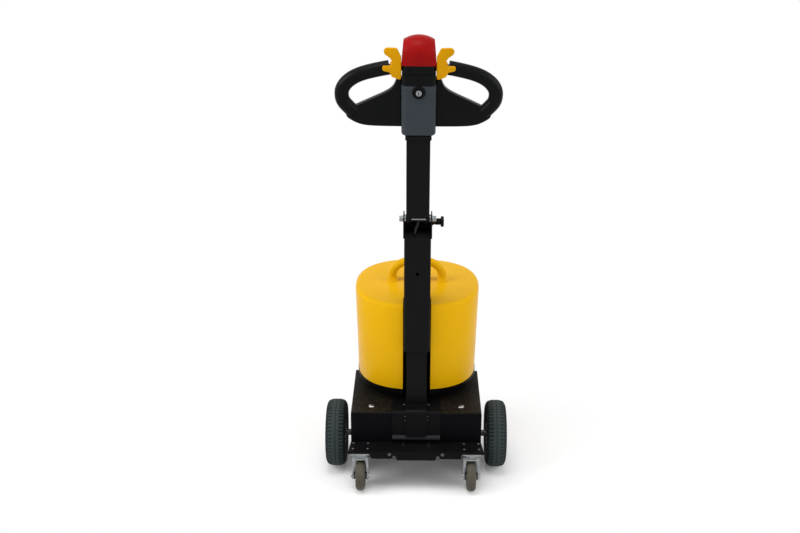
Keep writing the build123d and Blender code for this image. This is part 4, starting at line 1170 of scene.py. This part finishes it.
class DrumOperator(bpy.types.Operator):
    """Moulded drum with a slightly squared plan, the skirt under it and its lifting loop"""
    bl_idname = "tug.drum"
    bl_label = "Battery Drum"

    def execute(self, context):
        s = context.scene.tug_drum
        low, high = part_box("drum_cover")
        centre = middle("lifting_hoop")
        wide, rim = (high.x - low.x) / 2, s.rim_height
        foot, skirt = ([(s.foot_radius + out * MM, low.z + up * MM) for out, up in section]
                       for section in (DRUM_FOOT, DRUM_SKIRT))
        bend = [(wide - s.edge * (1 - math.cos(a)), rim - s.edge * (1 - math.sin(a)))
                for a in (math.radians(d) for d in range(0, 91, 10))]
        dome = [(wide * share, rim + s.dome * (1 - share ** 2)) for share in (0.78, 0.6, 0.4, 0.2, 0.02)]
        shell = self.slotted("drum_shell", self.body(s, foot + bend + dome, centre))
        place(shell, "chassis", "drum_yellow", ("drum_cover",))
        place(self.slotted("drum_skirt", self.body(s, skirt, centre)), "chassis", "tray_black")
        self.loop(s, centre)
        return {"FINISHED"}

    def body(self, s, rings, centre):
        """Solid through (radius, height) rings of the drum's plan, sloping more towards the top."""
        foot, first_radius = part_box("drum_cover")[0].z, rings[0][0]
        rows = []
        for radius, height in rings:
            row = []
            for a in turns(s.facets):
                x, y = (radius * math.copysign(abs(v) ** (2 / s.squareness), v)
                        for v in (math.cos(a), math.sin(a)))
                rise = s.slope * y / first_radius * (height - foot) / (s.rim_height - foot)
                row.append((centre.x + x, centre.y + y, height + rise))
            rows.append(row)
        return lofted("drum_body", rows)

    def slotted(self, name, mesh):
        """The body with the mast's slot cut out."""
        clear, end_clear, past = 0.0022, 0.005, 0.1
        sleeve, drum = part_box("lower_mast"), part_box("drum_cover")
        half = sleeve[1].x + clear
        plan = rectangle(-half, half, drum[0].y - past, sleeve[1].y + end_clear)
        cutter = new_piece(name + ".cutter", prism_mesh("cutter", plan, drum[0].z - past, drum[1].z + past))
        whole = new_piece(name + ".whole", mesh)
        cut = whole.modifiers.new("slot", "BOOLEAN")
        cut.object = cutter
        graph = bpy.context.evaluated_depsgraph_get()
        result = bpy.data.meshes.new_from_object(whole.evaluated_get(graph))
        result.materials.clear()
        for spare in (whole, cutter):
            bpy.data.objects.remove(spare)
        return new_piece(name, smoothed(result))

    def loop(self, s, centre):
        """Moulded lifting loop with flared feet."""
        sunk, around, smooth_to = 0.001, 24, 60
        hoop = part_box("lifting_hoop")[1]
        half, top, low = hoop.x - s.loop_radius, hoop.z + s.loop_lift - s.loop_radius, s.rim_height - sunk
        turn, rise = half - s.loop_flat, top - low - s.loop_foot
        # Sideways place, height, lean and radius along the right half of the loop
        legs = [(half, low + s.loop_foot * up, 0, s.loop_radius * share)
                for up, share in ((0, 1.6), (0.2, 1.5), (0.45, 1.25), (0.75, 1.07))]
        bend = [(s.loop_flat + turn * math.cos(a), top - rise + rise * math.sin(a), a, s.loop_radius)
                for a in (math.radians(d) for d in range(0, 91, 9))]
        line = legs + bend
        line += [(-x, z, math.pi - a, thick) for x, z, a, thick in reversed(line)]
        rows = []
        for x, z, lean, thick in line:
            out = Vector((math.cos(lean), 0, math.sin(lean))) * thick
            rows.append([Vector((x, centre.y + thick * math.sin(a), z)) + out * math.cos(a)
                         for a in turns(around)])
        place(new_piece("lifting_loop", lofted("lifting_loop", rows, degrees=smooth_to)), "chassis",
              "drum_yellow", ("lifting_hoop",))


# Section of the saddle's rounded foot in mm, ahead of and above its rear lower edge
SADDLE_LIP = ((5.0, 9.2), (3.6, 6.0), (1.4, 4.5), (-0.2, 3.0), (-0.4, 0.4), (5.0, 0.2))


class TrimOperator(bpy.types.Operator):
    """Rounded foot of the saddle plate, lighter as a painted highlight, and a dark sheet in the drum's slot as
    painted shade
    """
    bl_idname = "tug.trim"
    bl_label = "Trim"

    def execute(self, context):
        low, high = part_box("saddle_plate")
        lip = [(low.y + y * MM, low.z + z * MM) for y, z in SADDLE_LIP]
        # The foot takes a lighter grey as a painted highlight along its lit edge
        place(new_piece("saddle_lip", strip_mesh("saddle_lip", lip, low.x, high.x)), "chassis",
              "chassis_paint", look="lit_edge_and_screw_grey")
        self.shade_sheet()
        return {"FINISHED"}

    def shade_sheet(self):
        """Dark sheet along the three walls of the slot, painted shade where light does not reach."""
        clear, end_clear, sheet, set_in, above_foot, below_top = 0.0018, 0.0045, 0.0007, 0.0085, 0.001, 0.010
        drum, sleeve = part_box("drum_cover"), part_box("lower_mast")
        half, back, end = sleeve[1].x + clear, drum[0].y + set_in, sleeve[1].y + end_clear
        inner, inner_end = half - sheet, end - sheet
        plan = [(half, back), (half, end), (-half, end), (-half, back), (-inner, back), (-inner, inner_end),
                (inner, inner_end), (inner, back)]
        shade_sheet = prism_mesh("slot_lining", plan, drum[0].z + above_foot, drum[1].z - below_top)
        place(new_piece("slot_lining", shade_sheet), "chassis", "tray_black")


class KeyOperator(bpy.types.Operator):
    """Key switch with its bezel, and its keyway as a dark plate of painted shade"""
    bl_idname = "tug.key"
    bl_label = "Key Switch"

    def execute(self, context):
        s = context.scene.tug_head
        face, core_face = -s.housing_depth / 2, 0.0058
        spot = HEAD @ Matrix.Translation((0, face, s.key_height)) @ turned_to(BACK)
        bezel = lathe("key_bezel", ((1, 0), (1, 0.0018), (0.93, 0.0034), (0.8, 0.004), (0.66, 0.0036),
                                    (0.58, 0.0022), (0.3, 0.0022)), s.key_bezel / 2, steps=48)
        piece("key_bezel", [(bezel, spot)], "tiller", "handle_black", ("key_switch",))
        core = lathe("key_core", ((1, 0.002), (1, 0.0058), (0.93, 0.0066), (0.72, 0.0066),
                                  (0.68, core_face), (0.2, core_face)), s.key_core / 2, steps=40)
        piece("key_core", [(core, spot)], "tiller", "steel", look="zinc")
        half, long, corner, depth, edge = 0.0009, s.key_core / 2 * 0.6, 0.0006, 0.0004, 0.0001
        outline = rounded_outline(rectangle(-half, half, -long, long), corner)
        way = plate_mesh("keyway", outline, 0.0, -depth, edge, 1)
        at = HEAD @ Matrix.Translation((0, face - core_face, s.key_height))
        piece("keyway", [(way, at)], "tiller", "handle_black")
        return {"FINISHED"}


def mirrored_pair(name, right, slot, node):
    """The right piece and its mirror image on the tiller, in place of the CAD's pair of nodes."""
    left = right.copy()
    left.transform(Matrix.Scale(-1, 4, RIGHT))
    left.flip_normals()
    for label, mesh in (("left", left), ("right", right)):
        place(new_piece(f"{name}_{label}", mesh), "tiller", slot, (f"{node}_{label}",))


# Outline of the right paddle in mm, outwards from its inner edge and up from the arms' axis
PADDLE_OUTLINE = ((0.0, -22.0), (20.0, -14.0), (24.0, -4.5), (39.0, -0.5), (40.0, 6.0), (38.0, 10.0),
                  (20.0, 10.0), (20.0, 21.0), (24.0, 27.5), (35.0, 36.0), (37.0, 45.0), (31.0, 50.0),
                  (9.0, 49.0), (5.0, 41.0), (0.0, 30.0))


class PaddleOperator(bpy.types.Operator):
    """Moulded thumb paddles beside the head block"""
    bl_idname = "tug.paddles"
    bl_label = "Thumb Paddles"

    def execute(self, context):
        s = context.scene.tug_head
        inner, front = s.paddle_inside, s.paddle_front
        thick, corner, edge = 0.005, 0.0055, 0.0016
        rim = rounded_outline([(inner + x * MM, z * MM) for x, z in PADDLE_OUTLINE], corner)
        plate = plate_mesh("paddle", rim, front, front + thick, edge)
        bend_from, bend_share, bow, bow_rate = 0.012, 0.06, 0.0012, 60
        for vert in plate.vertices:
            bend = max(0.0, vert.co.x - inner - bend_from)
            vert.co.y += bow * math.cos(vert.co.z * bow_rate) - bend * bend_share
        hub_radius, hub_length, chamfer = 0.012, 0.0235, 0.001
        hub = lathe("hub", ((0.9, inner), (1, inner + chamfer), (1, inner + hub_length - chamfer),
                            (0.9, inner + hub_length)), hub_radius, steps=40)
        web_half, web_in, web_corner, web_edge = 0.009, 0.003, 0.002, 0.0008
        sheet = rounded_outline(rectangle(inner, inner + hub_length, -web_half, web_half), web_corner)
        web = plate_mesh("web", sheet, front + web_in, 0.0, web_edge)
        at = HEAD @ Matrix.Translation((0, 0, s.arm_height))
        right = joined("paddle", [(plate, at), (web, at), (hub, at @ turned_to(RIGHT))])
        mirrored_pair("thumb_paddle", right, "paddle_yellow", "paddle")
        return {"FINISHED"}


# Control points of the right handle in mm, outwards and up the upper mast from its pivot
GRIP_LINE = ((62.5, 354.3), (100, 347.5), (140, 333.5), (164, 310), (164.5, 283), (152, 267), (139.5, 255))
WING_UNDER = ((36, 224.8), (82, 224.8), (120, 227), (142.5, 236.5), (159, 249.5), (153, 262))
WING_OVER = ((145, 265), (118, 278.5), (74, 298.5), (58, 309), (50.5, 320), (46.5, 334))


class HandleOperator(bpy.types.Operator):
    """Moulded handles, each a round grip that runs into a flat wing beside the housing"""
    bl_idname = "tug.handles"
    bl_label = "Handles"

    def execute(self, context):
        s = context.scene.tug_head
        grip, under, over = ([point * MM for point in spline_points([(x, 0, z) for x, z in line])]
                             for line in (GRIP_LINE, WING_UNDER, WING_OVER))
        rim = [(point.x, point.z) for point in under + over]
        rim.append((under[0].x, over[-1].z))
        wing = plate_mesh("wing", rim, -s.wing_depth / 2, s.wing_depth / 2, s.wing_edge)
        right = joined("handle", [(tube_mesh("grip", grip, s.grip_radius, 32), HEAD), (wing, HEAD)])
        mirrored_pair("handle_moulding", right, "handle_black", "handle")
        return {"FINISHED"}


class HeadOperator(bpy.types.Operator):
    """Small marks on the head block: a dark plate painted as the shade of a slot, and a lens"""
    bl_idname = "tug.head"
    bl_label = "Head Details"

    def execute(self, context):
        s = context.scene.tug_head
        block_in, slot_left, lens_right, lens_below = 0.002, 0.0185, 0.021, 0.001
        front = -s.housing_depth / 2 + block_in
        long, half, corner, depth, edge = 0.0035, 0.0008, 0.0007, 0.0005, 0.00015
        outline = rounded_outline(rectangle(-long, long, -half, half), corner)
        slot = plate_mesh("slot", outline, 0.0, -depth, edge, 1)
        at = HEAD @ Matrix.Translation((-slot_left, front, s.mark_height))
        piece("block_slot", [(slot, at)], "tiller", "tray_black")
        at = HEAD @ Matrix.Translation((lens_right, front, s.mark_height - lens_below)) @ turned_to(BACK)
        lens_radius, lens_height = 0.0017, 0.0007
        piece("block_lens", [(dome_head(lens_radius, lens_height), at)], "tiller", "tray_black")
        return {"FINISHED"}


# Name, width and place of each lamp, and the spot that they all face
LAMPS = (("key", 2.2, (-3.0, -1.0, 2.6)), ("fill", 2.2, (3.0, -0.8, 2.2)), ("top", 1.3, (-0.2, -0.7, 3.3)))
LAMP_AIM = Vector((0, 0, 0.45))


class StageOperator(bpy.types.Operator):
    """Floor, lamps and the camera"""
    bl_idname = "tug.stage"
    bl_label = "Stage"

    def execute(self, context):
        scene = context.scene
        s = scene.tug_stage
        scene.view_settings.view_transform = "Standard"
        self.add_floor(s)
        self.add_lamps(s)
        self.add_world(scene, s)
        self.add_camera(scene, s)
        return {"FINISHED"}

    def add_camera(self, scene, s):
        """Camera behind and above the machine."""
        data = bpy.data.cameras.new("camera")
        data.sensor_width = 36.0
        data.lens = s.lens
        data.shift_x = s.shift
        camera = new_piece("camera", data)
        turn = Matrix.Rotation(math.pi / 2 - s.pitch, 4, "X") @ Matrix.Rotation(s.roll, 4, "Z")
        camera.matrix_world = Matrix.Translation((0, AXLE.y - s.camera_back, s.camera_height)) @ turn
        scene.camera = camera

    def seen(self, tree):
        """1 for rays from the camera, mirrors and glass, and 0 for rays that only light things."""
        path = add(tree, "ShaderNodeLightPath")
        total = maths(tree, path.outputs["Is Camera Ray"], path.outputs["Is Glossy Ray"], "MAXIMUM")
        return maths(tree, total, path.outputs["Is Transmission Ray"], "MAXIMUM")

    def add_world(self, scene, s):
        """Even white light, seen as plain white."""
        world = bpy.data.worlds.new("studio")
        world.use_nodes = True
        tree = world.node_tree
        background = tree.nodes["Background"]
        background.inputs["Color"].default_value = (1, 1, 1, 1)
        tree.links.new(stretch(tree, self.seen(tree), 0.0, 1.0, s.sky, 1.0), background.inputs["Strength"])
        scene.world = world

    def add_floor(self, s):
        """Wide plain floor that keeps the shadow near the machine and is white further off."""
        half = s.floor_half
        mesh = bpy.data.meshes.new("floor")
        mesh.from_pydata([(x, y, 0) for x, y in rectangle(-half, half, -half, half)], [], [(0, 1, 2, 3)])
        floor = new_piece("floor", mesh)
        mat = bpy.data.materials.new("studio_floor")
        mat.use_nodes = True
        tree = mat.node_tree
        shader = tree.nodes["Principled BSDF"]
        shader.inputs["Base Color"].default_value = (*s.floor_colour, 1)
        shader.inputs["Roughness"].default_value = 0.9
        shader.inputs["Specular IOR Level"].default_value = 0.0
        distance = add(tree, "ShaderNodeVectorMath", operation="LENGTH")
        tree.links.new(object_coords(tree), distance.inputs[0])
        far = stretch(tree, distance.outputs["Value"], s.shadow_near, s.shadow_far)
        white = add(tree, "ShaderNodeEmission")
        mix = add(tree, "ShaderNodeMixShader")
        for value, socket in ((maths(tree, far, self.seen(tree)), mix.inputs[0]),
                              (shader.outputs[0], mix.inputs[1]), (white.outputs[0], mix.inputs[2]),
                              (mix.outputs[0], tree.nodes["Material Output"].inputs["Surface"])):
            tree.links.new(value, socket)
        mesh.materials.append(mat)

    def add_lamps(self, s):
        """Large soft lamps on both sides and one above."""
        powers = {"key": s.key, "fill": s.fill, "top": s.top}
        for name, width, spot in LAMPS:
            data = bpy.data.lights.new(name, "AREA")
            data.energy = powers[name]
            data.size = width
            lamp = new_piece(name, data)
            turn = (LAMP_AIM - Vector(spot)).to_track_quat("-Z", "Y").to_matrix().to_4x4()
            lamp.matrix_world = Matrix.Translation(spot) @ turn


STEPS = (FinishOperator, JointOperator, TyreOperator, WheelOperator, FastenerOperator, DrumOperator,
         TrimOperator, KeyOperator, PaddleOperator, HandleOperator, HeadOperator, StageOperator)
SETTINGS = (("tug_stage", StageSettings), ("tug_finish", FinishSettings), ("tug_wheel", WheelSettings),
            ("tug_fastener", FastenerSettings), ("tug_drum", DrumSettings), ("tug_head", HeadSettings),
            ("tug_joint", JointSettings))


class TugPanel(bpy.types.Panel):
    """Steps of the tow tractor's dress"""
    bl_idname = "VIEW3D_PT_tug"
    bl_label = "Tow Tractor"
    bl_space_type = "VIEW_3D"
    bl_region_type = "UI"
    bl_category = "Tow Tractor"

    def draw(self, context):
        for step in STEPS:
            self.layout.operator(step.bl_idname)


def register():
    for name, group in SETTINGS:
        bpy.utils.register_class(group)
        setattr(bpy.types.Scene, name, PointerProperty(type=group))
    for step in STEPS:
        bpy.utils.register_class(step)
    bpy.utils.register_class(TugPanel)


def unregister():
    bpy.utils.unregister_class(TugPanel)
    for step in reversed(STEPS):
        bpy.utils.unregister_class(step)
    for name, group in reversed(SETTINGS):
        delattr(bpy.types.Scene, name)
        bpy.utils.unregister_class(group)


def main():
    register()
    for step in STEPS:
        area, name = step.bl_idname.split(".")
        getattr(getattr(bpy.ops, area), name)()


if __name__ == "__main__":
    main()
